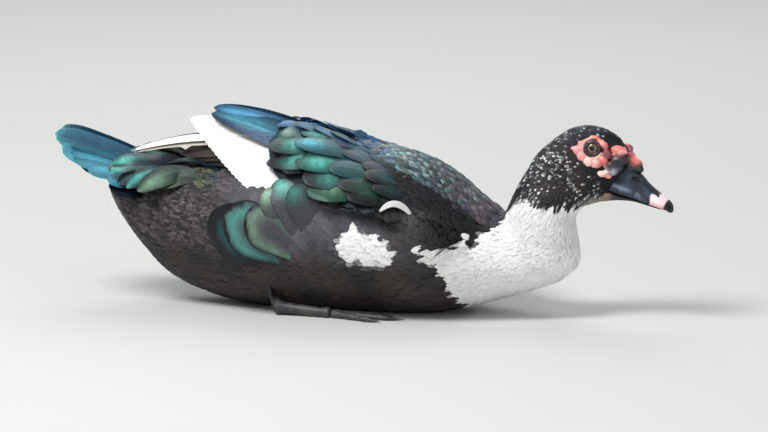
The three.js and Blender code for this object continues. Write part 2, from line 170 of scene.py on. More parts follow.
def tubeFaces(rings, around):
    # quads between the rings and a fan at each pole
    k = np.arange(around)
    n = (k + 1) % around
    base = 1 + np.arange(rings - 1)[:, None] * around
    quads = columns(base + k, base + n, base + around + n, base + around + k).reshape(-1, 4)
    last = 1 + (rings - 1) * around
    return [quads, np.vstack([columns(0, 1 + n, 1 + k), columns(last + k, last + n, last + around)])]


def uprightForm(rows, count, **options):
    # rows of x, top, widest height, bottom, half width on the middle plane
    x, top, wide, bottom, half = smoothRows(rows, count).T
    return roundForm(columns(x, 0, wide), columns(0, half, 0), columns(0, 0, top - wide),
                     columns(0, 0, bottom - wide), **options)


def leaningForm(rows, count, **options):
    # rows of back x, back z, front x, front z, half width
    bx, bz, fx, fz, half = smoothRows(rows, count).T
    reach = columns((bx - fx) / 2, 0, (bz - fz) / 2)
    return roundForm(columns((bx + fx) / 2, 0, (bz + fz) / 2), columns(0, half, 0), reach, -reach, **options)


def bulb(at, radii, pitch=0, around=20, along=10):
    # an ellipsoid: unit sphere times radii, turned about Y by pitch degrees
    v = np.pi * np.arange(1, along)[:, None] / along
    u = 2 * np.pi * np.arange(around) / around
    ring = columns(np.sin(v) * np.cos(u), np.sin(v) * np.sin(u), np.cos(v)).reshape(-1, 3)
    points = np.vstack([[[0, 0, 1.0]], ring, [[0, 0, -1.0]]]) * radii
    c, s = np.cos(np.radians(pitch)), np.sin(np.radians(pitch))
    return points @ np.array([[c, 0, s], [0, 1, 0], [-s, 0, c]]) + at, tubeFaces(along - 1, around)


def stack(parts):
    # one set of points and faces out of many
    points, faces, count = [], {3: [], 4: []}, 0
    for p, sets in parts:
        points.append(p)
        for f in sets:
            faces[f.shape[1]].append(f + count)
        count += len(p)
    return np.vstack(points), [np.vstack(f) for f in faces.values() if f]


def outwards(points, faces):
    # turns the faces of a closed shape outward, by the sign of its volume
    total = sum((np.einsum("ij,ij->i", points[f[:, 0]], np.cross(points[f[:, i]], points[f[:, i + 1]]))).sum()
                for f in faces for i in range(1, f.shape[1] - 1))
    return points, [f[:, ::-1] for f in faces] if total < 0 else faces


def read(rows, key, size, kind=np.float32):
    # a field of a mesh's rows as an array with size columns
    values = np.zeros(len(rows) * size, kind)
    rows.foreach_get(key, values)
    return values.reshape(-1, size)


def meshFrom(name, points, faces, uvs=None, tint=None, rim=None):
    # rim marks the points along a vane's border, where its two sides meet at a sharp edge
    mesh = bpy.data.meshes.new(name)
    loops = np.concatenate([f.ravel() for f in faces]).astype(np.int32)
    sizes = np.concatenate([np.full(len(f), f.shape[1]) for f in faces])
    mesh.vertices.add(len(points))
    mesh.loops.add(len(loops))
    mesh.loops.foreach_set("vertex_index", loops)
    mesh.polygons.add(len(sizes))
    mesh.polygons.foreach_set("loop_start", np.concatenate([[0], np.cumsum(sizes)[:-1]]).astype(np.int32))
    setPoints(mesh, points, calc_edges=True)
    for uvName, uv in (uvs or {}).items():
        mesh.uv_layers.new(name=uvName).data.foreach_set("uv", uv[loops].astype(np.float32).ravel())
    if tint is not None:
        setTint(mesh, tint)
    if rim is not None:
        sharp = rim[read(mesh.edges, "vertices", 2, np.int32)].all(1)
        mesh.attributes.new("sharp_edge", "BOOLEAN", "EDGE").data.foreach_set("value", sharp)
    return mesh


def setTint(mesh, tint):
    colour = np.ones((len(mesh.vertices), 4), np.float32)
    colour[:, :3] = np.clip(tint, 0, 1)
    mesh.color_attributes.new("tint", "FLOAT_COLOR", "POINT").data.foreach_set("color", colour.ravel())


def setPoints(mesh, points, **options):
    mesh.vertices.foreach_set("co", (points / 1000).astype(np.float32).ravel())
    mesh.polygons.foreach_set("use_smooth", np.ones(len(mesh.polygons), bool))
    mesh.update(**options)


def normalsOf(mesh):
    # one smooth normal for each point
    return read(mesh.vertex_normals, "vector", 3).astype(float)


def makePiece(name, mesh, finish, nodes=()):
    piece = addObject(name, mesh)
    mesh.materials.append(finishes[finish])
    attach(piece, "root")
    if nodes:
        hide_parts(*nodes)
    return piece


def fuse(parts, voxel, rounds):
    # joins closed forms into one surface by a voxel remesh, then evens it by averaging neighbours
    holder = addObject("forms", meshFrom("forms", *stack([outwards(*part) for part in parts])))
    remesh = holder.modifiers.new("fuse", "REMESH")
    remesh.mode = "VOXEL"
    remesh.voxel_size = voxel / 1000
    fused = bpy.data.meshes.new_from_object(holder.evaluated_get(bpy.context.evaluated_depsgraph_get()))
    bpy.data.objects.remove(holder)
    points = read(fused.vertices, "co", 3).astype(float) * 1000
    edges = read(fused.edges, "vertices", 2, np.int32)
    for _ in range(rounds):
        points = mix(points, neighbours(points, edges), 0.5)
    setPoints(fused, points)
    return fused, points, edges


def neighbours(points, edges):
    # the mean of each point's neighbours
    a, b = edges.T
    here, there = np.concatenate([a, b]), np.concatenate([b, a])
    count = np.bincount(here, minlength=len(points))[:, None]
    total = columns(*(np.bincount(here, points[there, n], len(points)) for n in range(3)))
    return total / np.maximum(count, 1)


# a feather's vane

# root share, place of the widest, start of the tip, tip power: bigger is blunter
outlines = {
    "covert": (0.62, 0.5, 0.45, 2.4),
    "long": (0.6, 0.55, 0.72, 2.0),
    "flight": (0.55, 0.4, 0.6, 1.7),
    "blade": (0.7, 0.3, 0.12, 1.15),
    "fan": (0.12, 0.75, 0.5, 2.2),
    "arc": (0.1, 0.5, 0.5, 1.3),
    "oval": (0.7, 0.55, 0.48, 2.3),
    "leaf": (0.6, 0.4, 0.4, 1.7),
    "broad": (0.35, 0.6, 0.45, 2.3),
    "tuft": (0.7, 0.3, 0.3, 1.6),
}
# rows of a vane crowd toward its tip by this power
tipCrowd = 1.35
# vanes of the large feathers, which have an underside of their own
largeVane = {"rows": 12, "cols": 6, "camber": 0.05, "thickness": 0.7}
laidVane = {**largeVane, "rows": 14, "cols": 8}


def leafPlan(rows, cols, full):
    # Grid of rows by cols+1 points, then one at the tip. The underside shares the rim, and has points
    # of its own inside it when full, or else runs straight from rim to rim.
    # Gives each point's row, column and underside mark, and the faces.
    grid = np.arange(rows * (cols + 1)).reshape(rows, cols + 1)
    tip = grid.size
    row, col = np.divmod(np.arange(tip), cols + 1)
    row, col, under = np.append(row, rows), np.append(col, cols / 2), np.zeros(tip + 1)
    fans = lambda g: columns(g[-1, :-1], g[-1, 1:], tip)
    low, cap = grid[:, [0, -1]], []
    if full:
        low = grid.copy()
        inner = grid[1:, 1:-1]
        low[1:, 1:-1] = tip + 1 + np.arange(inner.size).reshape(inner.shape)
        row, col = np.append(row, row[inner.ravel()]), np.append(col, col[inner.ravel()])
        under = np.append(under, np.ones(inner.size))
    else:
        cap = [np.array([[grid[0, 0], grid[0, k + 1], grid[0, k]] for k in range(1, cols)])]
    faces = [np.vstack([gridFaces(grid), gridFaces(low)[:, ::-1]]),
             np.vstack([fans(grid), fans(low)[:, ::-1]] + cap)]
    return row, col, under, faces


def vanes(root, middle, tip, face, width, outline, rows, cols, camber, thickness=0, tipFace=None):
    # spine: the parabola through root, middle and tip. Width: grows as a quarter sine to the widest place
    # and closes over the tip as sqrt(1 - t^power). camber bends the edges back by its share of the width.
    # Gives points, faces, and each point's place along, place across and feather.
    rowOf, colOf, under, faces = leafPlan(rows, cols, thickness > 0)
    rootShare, widest, tipStart, power = outlines[outline]
    a = 1 - (1 - rowOf / rows) ** tipCrowd
    s = colOf / cols * 2 - 1
    share = rootShare + (1 - rootShare) * np.sin(np.pi / 2 * np.minimum(a / widest, 1))
    share = share * np.sqrt(np.maximum(1 - np.clip((a - tipStart) / (1 - tipStart), 0, 1) ** power, 0))
    handle = 2 * middle - (root + tip) / 2
    wide = lambda v: v[:, None, :]
    spine = (wide(root) * ((1 - a) ** 2)[:, None] + wide(handle) * (2 * a * (1 - a))[:, None]
             + wide(tip) * (a * a)[:, None])
    along = unit(wide(handle - root) * (1 - a)[:, None] + wide(tip - handle) * a[:, None])
    normal = wide(face) if tipFace is None else mix(wide(face), wide(tipFace), a[:, None])
    across = unit(np.cross(along, normal))
    lift = np.cross(across, along)
    half = width[:, None] / 2 * share
    bend = -camber * width[:, None] * (s * s) * share - under * thickness * (1 - s * s)
    points = spine + across * (s * half)[..., None] + lift * bend[..., None]
    n, m = len(root), len(rowOf)
    offset = (np.arange(n) * m)[:, None, None]
    sets = [(f[None] + offset).reshape(-1, f.shape[1]) for f in faces]
    return points.reshape(-1, 3), sets, np.tile(a, n), np.tile(s, n), np.repeat(np.arange(n), m)


def rimOf(a, s):
    # true on a vane's two edges and at its tip
    return (np.abs(s) > 0.99) | (a > 0.999)


# regions and colours of the coat; all read points in millimetres

colours = palette({"white": "f4f3f0", "cream": "cfc6b9", "black": "121316", "soot": "222125",
                   "slate": "343a46", "brown": "3a302c", "ash": "514c49", "teal": "1b565c",
                   "green": "235446", "blue": "27507c", "sky": "4a90b5", "mauve": "75666c",
                   "moss": "7d8a4e", "night": "172a42", "pine": "2e3a37", "glow": "5ac6b6",
                   "lime": "8db798", "cyan": "52b7cc", "mist": "6d8a83", "plum": "372e35", "navy": "1b4563",
                   "steel": "54535a", "lagoon": "256f84", "dusk": "2b566b"})

lines = {
    # the head's black ends at this height over the neck: x, z
    "headEdge": [(140, 150), (170, 127), (184, 124), (198, 116), (215, 110.5), (231, 114), (248, 119),
                 (262, 119)],
    # the white of neck and breast starts forward of this line: z, x
    "whiteEdge": [(0, 128), (30, 116), (60, 106), (75, 110), (86, 130), (90, 146), (102, 158), (114, 167),
                  (127, 178)],
    # the wing's ridge, seen from above: x, y
    "ridge": [(-150, 4), (-58, 6), (-6, 9), (20, 18), (45, 30), (77, 46), (102, 60), (125, 70), (140, 78)],
    # the mantle lies over this line, the black shoulder under it: x, z
    "mantleEdge": [(-20, 182), (10, 172), (33, 160), (64, 143), (95, 126), (120, 109), (145, 92), (160, 84)],
    # the wing's lower edge: x, z
    "wingLow": [(-80, 138), (-20, 122), (80, 96), (130, 76)],
    # the middle of the body's height, round which the bake map is unrolled: x, z
    "bodyMiddle": [(-262, 112), (-100, 70), (60, 70), (224, 57)],
}
# each region is the product of soft edges: along an axis, 0 at the first place and 1 at the second
regions = {
    "wing": (("x", 146, 134), ("x", -100, -85)),
    "mantle": (("x", -20, 10), ("x", 166, 154)),
    "rump": (("x", -108, -140), ("z", 84, 112)),
    "steelFlank": (("z", 50, 74), ("x", -150, -110), ("x", 120, 70)),
    "mottledRear": (("x", -96, -130), ("z", 50, 74)),
    "crest": (("z", 148, 156), ("x", 40, 10), ("x", -90, -70)),
    # where the painted shadow under the wing's lower edge runs
    "gap": (("x", -40, -20), ("x", 80, 60)),
    "shoulder": (("z", 74, 88), ("x", 60, 76), ("x", 160, 146)),
    "cheek": (("x", 185, 200), ("x", 252, 236), ("z", 178, 164), ("z", 118, 134)),
    "chin": (("x", 238, 250), ("z", 130, 122)),
    "flankRise": (("z", 40, 90), ("x", 120, 20)),
    "rearRise": (("x", -150, -230), ("z", 110, 60)),
    "breast": (("x", 110, 160), ("z", 110, 70)),
    "neck": (("z", 66, 96), ("x", 145, 165)),
    "head": (("z", 118, 150), ("x", 165, 185)),
    "belly": (("z", 40, 10),),
    "wingRear": (("x", 70, 30),),
    "overWater": (("z", 30, 50),),
    # where painted shade darkens the skin most, under the wing's white feathers
    "underWhiteShade": (("x", 20, 0), ("z", 172, 162)),
    "bellyCoat": (("z", 50, 20),),
    "rearCoat": (("x", -90, -130), ("z", 40, 60)),
    "flankCoat": (("x", -90, -60), ("x", 76, 56), ("z", 56, 66)),
    "wingFront": (("x", 60, 90),),
    "shoulderCoat": (("x", 44, 60), ("x", 116, 100), ("z", 62, 72)),
    "neckCoat": (("z", 60, 90), ("x", 145, 165)),
    "headCoat": (("z", 112, 128), ("x", 165, 185)),
    "neckPiece": (("z", 70, 96), ("x", 145, 165)),
    "nape": (("x", 238, 210), ("z", 128, 150)),
    "fleckedHead": (("z", 196, 184), ("z", 108, 120)),
}
# white marks on the flank and the wing's lower edge: x, z, half length, half height
whiteMarks = [(27, 76, 18, 17), (44, 70, 23, 14), (91, 76, 5, 4), (104, 68, 10, 8)]
# a black tongue in the white's edge: x, z, half length, half height
blackMark = (138, 84, 5, 10)


def line(name, key):
    x, y = np.array(lines[name], float).T
    return np.interp(key, x, y)


def within(p, name):
    # the share of a region at each point
    return np.prod([soft(p[:, "xyz".index(axis)], low, high) for axis, low, high in regions[name]], 0)


def fromMark(p, mark):
    # distance from the mark's centre in the mark's own lengths, seen from the side
    x, z, length, height = mark
    return np.hypot((p[:, 0] - x) / length, (p[:, 2] - z) / height)


def headShare(p):
    # 1 over the head's edge, which a ripple makes ragged
    edge = p[:, 2] - line("headEdge", p[:, 0]) + 2.2 * ripple(p, 17, 3)
    return soft(edge, -1.5, 1.5) * (p[:, 0] > 150)


def whiteShare(p):
    # 1 forward of the white's ragged edge and in the marks, but not in the black tongue or on the head
    front = p[:, 0] - line("whiteEdge", p[:, 2]) + 4 * ripple(p, 26, 5) + 2.5 * ripple(p, 9, 6)
    share = soft(front, -1, 1)
    for mark in whiteMarks:
        reach = fromMark(p, mark) + 0.16 * ripple(p, 12, 8)
        share = np.maximum(share, soft(reach, 1.12, 0.88) * (np.abs(p[:, 1]) > 60))
    return share * (1 - soft(fromMark(p, blackMark), 1.2, 0.9)) * (1 - headShare(p))


def wingShare(p):
    # on the folded wing: outside the ridge line, under the mantle's edge and over the wing's lower edge
    under = soft(p[:, 2] - line("mantleEdge", p[:, 0]), 2, -2)
    outside = soft(np.abs(p[:, 1]) - line("ridge", p[:, 0]), -3, 3)
    over = soft(p[:, 2] - line("wingLow", p[:, 0]), -4, 4)
    return np.where(p[:, 0] > 30, under, outside) * over * within(p, "wing")


def mantleShare(p):
    # the back between the wings and the neck
    return soft(p[:, 2] - line("mantleEdge", p[:, 0]), -2, 2) * within(p, "mantle") * (1 - wingShare(p))


def coatColour(p):
    # the coat's colour at a point, without its single feathers
    x, y, z = p.T
    c = lambda name: colours[name][None]
    base = blend(c("soot"), c("brown"), 0.5 + 0.4 * ripple(p, 50, 11))
    flank = blend(c("soot"), c("steel"), 0.45 + 0.55 * soft(ripple(p, 40, 12), -0.9, 0.9))
    base = blend(base, flank, within(p, "steelFlank") * 0.85)
    tone = blend(c("night"), c("pine"), soft(ripple(p, 16, 13) + 0.5 * ripple(p, 7, 16), -0.6, 0.6))
    tone = blend(tone, c("mauve") * 0.5, soft(x + 30 * ripple(p, 22, 14), 90, 150) * 0.6)
    base = blend(base, tone, mantleShare(p))
    mottle = soft(ripple(p, 9, 15) + 0.7 * ripple(p, 5, 17), -0.9, 1.1)
    rear = blend(c("soot") * 0.8, mix(c("ash"), c("mauve"), 0.4) * 0.8, mottle)
    base = blend(base, rear, within(p, "mottledRear") * 0.9)
    wing = blend(c("black"), mix(c("night"), c("teal"), 0.35), soft(x + 10 * ripple(p, 20, 18), 64, 10))
    base = blend(base, wing, wingShare(p))
    base = blend(base, c("navy") * 1.3, within(p, "crest") * soft(np.abs(y) - line("ridge", x), 10, 5))
    # painted shadow: a dark line just under the wing's lower edge
    base = blend(base, c("black") * 0.3, hump(z - line("wingLow", x), 3, 6) * within(p, "gap"))
    base = blend(base, c("black"), within(p, "shoulder") * (1 - mantleShare(p)) * 0.9)
    base = blend(base, mix(c("soot"), c("ash"), 0.4), hump(x, 78, 24) * hump(z, 86, 18) * 0.9)
    base = blend(base, c("white"), whiteShare(p))
    # painted sheen: the black head turns slate toward the crown
    head = blend(c("black"), c("slate"), soft(z, 176, 194) * soft(ripple(p, 12, 19), -0.9, 0.5) * 0.8)
    base = blend(base, blend(head, c("brown"), 0.55 * within(p, "cheek")), headShare(p))
    return blend(base, c("cream") * 0.45, within(p, "chin") * headShare(p))


def lieAt(p):
    # the way feathers lie: away from the bill over the head, down the neck, back along the body
    side = np.sign(p[:, 1])
    body = unit(columns(-1, 0, 0.22 * within(p, "flankRise") + 0.35 * within(p, "rearRise")))
    breast = unit(columns(-0.9, 0.1 * side, -0.35))
    neck = unit(columns(-0.4, 0.12 * side, -0.95))
    head = unit(p - np.array([[296, 0, 150]]))
    lie = blend(blend(body, breast, within(p, "breast")), neck, within(p, "neck"))
    return unit(blend(lie, head, within(p, "head")))


# skin: one surface under the whole coat

skin = {
    "voxel": 2.6, "rounds": 7, "lowest": 0.4,
    # torso and head: x, top, widest height, bottom, half width
    "torso": [(-262, 112, 112, 112, 0), (-257, 125, 114, 100, 22), (-243, 136, 106, 79, 38),
              (-222, 138, 98, 52, 50), (-190, 139, 90, 22, 58), (-140, 146, 84, 4, 72),
              (-80, 158, 80, -3, 92), (-10, 166, 78, -3, 97), (50, 161, 74, -3, 95), (88, 146, 69, 0, 88),
              (122, 120, 64, 7, 76), (156, 98, 60, 17, 60), (190, 86, 57, 28, 44), (214, 77, 57, 38, 26),
              (224, 57, 57, 57, 0)],
    # back x, z, front x, z, half width
    "neck": [(190, 56, 190, 56, 0), (150, 66, 221, 46, 36), (146, 82, 229, 59, 43.5),
             (153, 104, 226, 82, 41), (162, 124, 224, 99, 34), (172, 143, 231, 110, 29),
             (186, 160, 246, 119, 25), (200, 168, 250, 130, 21), (229, 153, 229, 153, 0)],
    "head": [(177, 143, 143, 143, 0), (180, 157, 143, 128, 12), (190, 169, 144, 116, 19.5),
             (204, 181, 147, 110, 24), (220, 191.5, 150, 110, 26), (238, 195.4, 152, 114, 25.6),
             (253, 193.2, 154, 119, 23), (264, 188.6, 156, 127, 19.5), (273, 182, 157, 137, 15),
             (280, 173, 157, 146, 10), (284, 159, 159, 159, 0)],
    # x, ridge y, z, lower edge y, z, bulge
    "wing": [(133, 70, 80, 70, 80, 0), (128, 64, 93, 78, 75, 3), (110, 58, 108, 90, 80, 5),
             (84, 47, 130, 97, 90, 8), (50, 30, 154, 100, 103, 9), (16, 16, 166, 99, 113, 9),
             (-24, 9, 178, 96, 120, 9), (-56, 8, 185, 84, 132, 8), (-76, 14, 184, 66, 148, 5),
             (-88, 38, 170, 38, 170, 0)],
    "tailBase": ((-222, 0, 130), (34, 42, 9), -12),
    "pads": [((-70, 60, 90), (62, 32, 44)), ((82, 80, 85), (34, 19, 28))],
}


def wingForm(side):
    # sections from ridge to lower edge, with a bulge outward and 0.45 of it inward
    x, ry, rz, ly, lz, bulge = smoothRows(skin["wing"], 36).T
    out = unit(columns(0, side * (rz - lz), ly - ry)) * bulge[:, None]
    return roundForm(columns(x, side * (ry + ly) / 2, (rz + lz) / 2),
                     columns(0, side * (ry - ly) / 2, (rz - lz) / 2), out, -0.45 * out, around=40)


def coatDepth(p):
    # how deep the skin lies under the coat's outer side
    wing, white = wingShare(p), whiteShare(p)
    depth = mix(mix(2.0, 3.0, within(p, "belly")), 2.6, np.maximum(wing, mantleShare(p)))
    depth = mix(mix(depth, 1.4, wing * within(p, "wingRear")), 1.2, white * within(p, "overWater"))
    return mix(depth, 1.1, within(p, "neck"))


forms = [uprightForm(skin["torso"], 80, around=72), leaningForm(skin["neck"], 36),
         uprightForm(skin["head"], 48), bulb(*skin["tailBase"], around=36, along=16)]
for side in sides.values():
    forms += [bulb(np.array(at) * (1, side, 1), radii, 0, 36, 20) for at, radii in skin["pads"]]
forms += [wingForm(side) for side in sides.values()]
skinMesh, skinPoints, _ = fuse(forms, skin["voxel"], skin["rounds"])
skinPoints = skinPoints - normalsOf(skinMesh) * coatDepth(skinPoints)[:, None]
skinPoints[:, 2] = np.maximum(skinPoints[:, 2], skin["lowest"])
setPoints(skinMesh, skinPoints)
# painted shade: the skin is darker between the feathers, and darkest under the wing's white feathers
shade = mix(0.6, 1.0, whiteShare(skinPoints))
shade *= mix(1.0, 0.3, wingShare(skinPoints) * within(skinPoints, "underWhiteShade"))
setTint(skinMesh, coatColour(skinPoints) * shade[:, None])
print("skin", len(skinMesh.polygons), "faces")

# materials


def nodesOf(name):
    material = bpy.data.materials.new(name)
    material.use_nodes = True
    return material, material.node_tree, material.node_tree.nodes["Principled BSDF"]


def node(tree, kind, links=(), **settings):
    # settings are properties of the node or names of its inputs; links are pairs of input and value
    made = tree.nodes.new(kind)
    for key, value in settings.items():
        if hasattr(made, key):
            setattr(made, key, value)
        else:
            made.inputs[key].default_value = value
    for key, value in links:
        tree.links.new(value, made.inputs[key])
    return made


def math(tree, operation, *values):
    made = node(tree, "ShaderNodeMath", operation=operation)
    for i, value in enumerate(values):
        if isinstance(value, (int, float)):
            made.inputs[i].default_value = value
        else:
            tree.links.new(value, made.inputs[i])
    return made.outputs[0]


def ramp(tree, value, low, high):
    made = node(tree, "ShaderNodeMapRange", [("Value", value)], interpolation_type="SMOOTHSTEP",
                **{"From Min": low, "From Max": high})
    return made.outputs["Result"]


def bump(tree, shader, height, distance):
    made = node(tree, "ShaderNodeBump", [("Height", height)], Strength=1.0, Distance=distance / 1000)
    tree.links.new(made.outputs["Normal"], shader.inputs["Normal"])


def noise(tree, size, detail=3.0):
    # noise on Object coordinates; size in millimetres
    place = node(tree, "ShaderNodeTexCoord").outputs["Object"]
    made = node(tree, "ShaderNodeTexNoise", [("Vector", place)], Scale=1000 / size, Detail=detail)
    return made.outputs["Fac"]


def paintShader(tree, shader, shade, rough, settings):
    # the tint times a shade as colour, a roughness, and fixed values of the shader
    tint = node(tree, "ShaderNodeAttribute", attribute_name="tint").outputs["Color"]
    tone = node(tree, "ShaderNodeVectorMath", [(0, tint), ("Scale", shade)], operation="SCALE")
    tree.links.new(tone.outputs[0], shader.inputs["Base Color"])
    tree.links.new(rough, shader.inputs["Roughness"])
    for key, value in settings.items():
        shader.inputs[key].default_value = value


def featherMaterial(name, metallic, roughness, barbs=40, fringe=0.5, rim=0.8, relief=0.12, soften=0.0,
                    streaks=0.7):
    # tint, darker at the vane's rim, with barbs that leave the shaft at a slant, and a fine shaft
    material, tree, shader = nodesOf(name)
    uv = node(tree, "ShaderNodeUVMap", uv_map="vane").outputs["UV"]
    split = node(tree, "ShaderNodeSeparateXYZ", [(0, uv)])
    side = math(tree, "ABSOLUTE", math(tree, "MULTIPLY_ADD", split.outputs["X"], 2.0, -1.0))
    slant = math(tree, "SUBTRACT", split.outputs["Y"], math(tree, "MULTIPLY", side, 0.3))
    barb = math(tree, "SINE", math(tree, "MULTIPLY", slant, barbs * 6.283))
    place = node(tree, "ShaderNodeCombineXYZ", [("X", math(tree, "MULTIPLY", side, 1.4)),
                                                ("Y", math(tree, "MULTIPLY", slant, barbs * 0.8)),
                                                ("Z", math(tree, "MULTIPLY", noise(tree, 30.0), 9.0))])
    clump = node(tree, "ShaderNodeTexNoise", [("Vector", place.outputs[0])], Scale=1.0, Detail=2.0)
    streak = math(tree, "MULTIPLY_ADD", clump.outputs["Fac"], streaks * 1.4, 1 - streaks * 0.7)
    tipEdge = ramp(tree, split.outputs["Y"], mix(rim, 1, 0.5), 1.0)
    edge = math(tree, "MAXIMUM", ramp(tree, side, rim, 1.0), tipEdge)
    shade = math(tree, "MULTIPLY", math(tree, "MULTIPLY_ADD", edge, -fringe, 1.0), streak)
    shade = math(tree, "MULTIPLY", shade, math(tree, "MULTIPLY_ADD", barb, 0.07, 1.0))
    bump(tree, shader, math(tree, "MULTIPLY_ADD", barb, 0.35, ramp(tree, side, 0.1, 0.0)), relief)
    rough = math(tree, "MULTIPLY_ADD", noise(tree, 9.0), 0.3, roughness - 0.15)
    paintShader(tree, shader, shade, rough, {"Metallic": metallic, "Specular IOR Level": 0.35,
                "Subsurface Weight": soften, "Subsurface Radius": (0.004, 0.004, 0.004)})
    return material


def skinMaterial(name, roughness, size, relief, coat=0.0, subsurface=0.0, mottle=0.7):
    # tint with a mottle, and a grain of the given size in millimetres
    material, tree, shader = nodesOf(name)
    shade = math(tree, "MULTIPLY_ADD", noise(tree, size * 4, 5.0), mottle, 1 - mottle / 2)
    bump(tree, shader, noise(tree, size, 4.0), relief)
    rough = math(tree, "MULTIPLY_ADD", noise(tree, size * 2), 0.25, roughness - 0.12)
    paintShader(tree, shader, shade, rough, {"Coat Weight": coat, "Coat Roughness": 0.2,
                "Subsurface Weight": subsurface, "Subsurface Radius": (0.004, 0.0015, 0.001)})
    return material


finishes = {
    "skin": skinMaterial("skinFinish", 0.8, 1.5, 0.1),
    "body": featherMaterial("bodyFeather", 0.0, 0.6, barbs=7, fringe=0.0, streaks=0.5),
    "mantle": featherMaterial("mantleFeather", 0.25, 0.42, barbs=9, fringe=0.35, rim=0.7, relief=0.15),
    "wingSmall": featherMaterial("wingSmallFeather", 0.2, 0.45, barbs=9, fringe=0.3),
    "neck": featherMaterial("neckFeather", 0.0, 0.9, barbs=5, fringe=0.0, relief=0.03, soften=0.5,
                            streaks=0.06),
    "head": featherMaterial("headFeather", 0.1, 0.48, barbs=4, fringe=0.2, relief=0.1),
    "wing": featherMaterial("wingFeather", 0.35, 0.36, barbs=30, fringe=0.6, rim=0.9, streaks=0.85),
    "white": featherMaterial("whiteFeather", 0.0, 0.7, fringe=0.0, relief=0.04, soften=0.4, streaks=0.05),
    "tail": featherMaterial("tailFeather", 0.35, 0.36, barbs=34, fringe=-0.6, rim=0.92),
    "dark": featherMaterial("darkFeather", 0.1, 0.45, fringe=0.4),
    "flank": featherMaterial("flankFeather", 0.2, 0.45, barbs=22, rim=0.9, relief=0.1, streaks=0.5),
    "face": skinMaterial("faceSkin", 0.42, 1.1, 0.12, coat=0.3, subsurface=0.25, mottle=0.3),
    "bill": skinMaterial("billHorn", 0.46, 3.0, 0.06, mottle=0.6),
    "eye": skinMaterial("eyeBall", 0.09, 1.2, 0.0, coat=0.3, mottle=0.3),
    "foot": skinMaterial("footSkin", 0.55, 1.6, 0.3, coat=0.1),
}
print("materials made")

makePiece("skin", skinMesh, "skin", ("torso", "neck", "head"))

# coat: feathers at seeded places over the skin, closer and smaller toward the face

skinTree = BVHTree.FromPolygons([Vector(p) for p in skinPoints],
                                [tuple(f.vertices) for f in skinMesh.polygons])
# places tried, seed, depth of the roots in the skin, lowest z of a vane and of a root, side of a feather's
# patch in the bake map, how far outside the wings' ridge the coat ends, the belly's top and the rear's front
# end, and how near to the bare face a feather may stand, in the lumps' half lengths
coat = {"places": 260000, "seed": 21, "rootDepth": 0.6, "lowest": 0.15, "lowestRoot": 1.2, "patch": 0.003,
        "ridgeGap": 6, "bellyTop": 46, "rearEnd": -100, "bareEdge": 1.04}
# where large feathers lie close over the skin: x from and to, lowest z, farthest out from the middle
covered = {"ridgeTop": (-100, -62, 148, 36), "underTail": (-300, -200, 104, 56)}
# spacing, length and width of the feathers in each region, each blended over those before it
coatSizes = {
    "plain": (3.3, 24, 6), "bellyCoat": (5.6, 26, 13), "rearCoat": (2.2, 16, 4.2),
    "flankCoat": (4.4, 24, 12), "white": (2.8, 15, 6), "mantle": (4.6, 18, 11.5), "rump": (2.3, 15, 4.8),
    "wing": (4.4, 18, 11), "wingFront": (3.4, 13, 7), "shoulderCoat": (3.2, 17, 8),
    "neckCoat": (1.9, 13, 4.6), "headCoat": (1.5, 5.4, 2.4),
}
# the bare face's lumps: x, z, half length, half height, turn in degrees, how proud, colour
# the pale and slate lumps are painted highlights on the bare skin
faceLumps = [
    (257.3, 178.6, 7.6, 3.5, -43, 3.2, "red"), (248.5, 184.4, 5.6, 2.5, -8, 2.2, "red"),
    (241.5, 182, 5.2, 2.2, 24, 1.4, "pink"), (235.5, 178, 4.8, 2.4, 40, 1.4, "pink"),
    (230.5, 173.8, 5, 2.8, 0, 1.8, "pink"), (233.5, 171.2, 4.8, 4.2, -30, 2.0, "pink"),
    (237.5, 166.6, 5.2, 4.8, -40, 2.4, "pink"), (244.5, 161.6, 6.2, 4.8, -25, 2.8, "pale"),
    (252, 160, 6.8, 5, -5, 3.2, "red"), (259.3, 162.6, 4.8, 5.2, 25, 3.2, "red"),
    (262.5, 169, 3.8, 5.2, 20, 2.4, "wine"), (272.6, 172, 9.3, 5.2, -8, 4.8, "red"),
    (273.4, 162.3, 9.2, 5.8, -8, 4.8, "ink"), (265.5, 157.5, 5, 4.2, 20, 2.6, "ink"),
    (257.5, 149.6, 4.8, 3.4, -15, 2.8, "pale"), (261.5, 150.8, 4.2, 3.2, 10, 2.8, "pale"),
    (263.5, 147, 4.2, 2.8, -15, 2.8, "red"), (268.6, 151.8, 5.4, 4.4, 15, 3.0, "slate"),
    (273, 154, 4.6, 3.6, 0, 2.6, "ink"),
]
# the left eye: centre, radius, axis, the angles of pupil and iris from it, and the bare ring round it
eye = {"at": (247.6, 16.4, 174.2), "radius": 7.6, "axis": (0.17, 0.965, 0.12), "pupil": 22, "iris": 42,
       "bare": 8.8}


def nearest(points):
    # the skin's nearest point and its normal, for each point
    found = [skinTree.find_nearest(Vector(p)) for p in points]
    return np.array([f[0] for f in found]), np.array([f[1] for f in found])


def seeds(count, seed):
    # places spread evenly by area over the skin's triangles
    skinMesh.calc_loop_triangles()
    a, b, c = (skinPoints[ends] for ends in read(skinMesh.loop_triangles, "vertices", 3, np.int32).T)
    normal = np.cross(b - a, c - a)
    area = np.linalg.norm(normal, axis=1)
    draw = np.random.default_rng(seed)
    pick = draw.choice(len(area), count, p=area / area.sum())
    u, v = draw.random((2, count, 1))
    u, v = np.where(u + v > 1, 1 - u, u), np.where(u + v > 1, 1 - v, v)
    return a[pick] + u * (b - a)[pick] + v * (c - a)[pick], unit(normal[pick])


def thin(points, spacing):
    # keeps a point when none kept before lies within its spacing
    tree = KDTree(len(points))
    for i, p in enumerate(points):
        tree.insert(p, i)
    tree.balance()
    free = np.ones(len(points), bool)
    keep = []
    for i in range(len(points)):
        if free[i]:
            keep.append(i)
            free[[k for _, k, _ in tree.find_range(points[i], spacing[i])]] = False
    return np.array(keep)


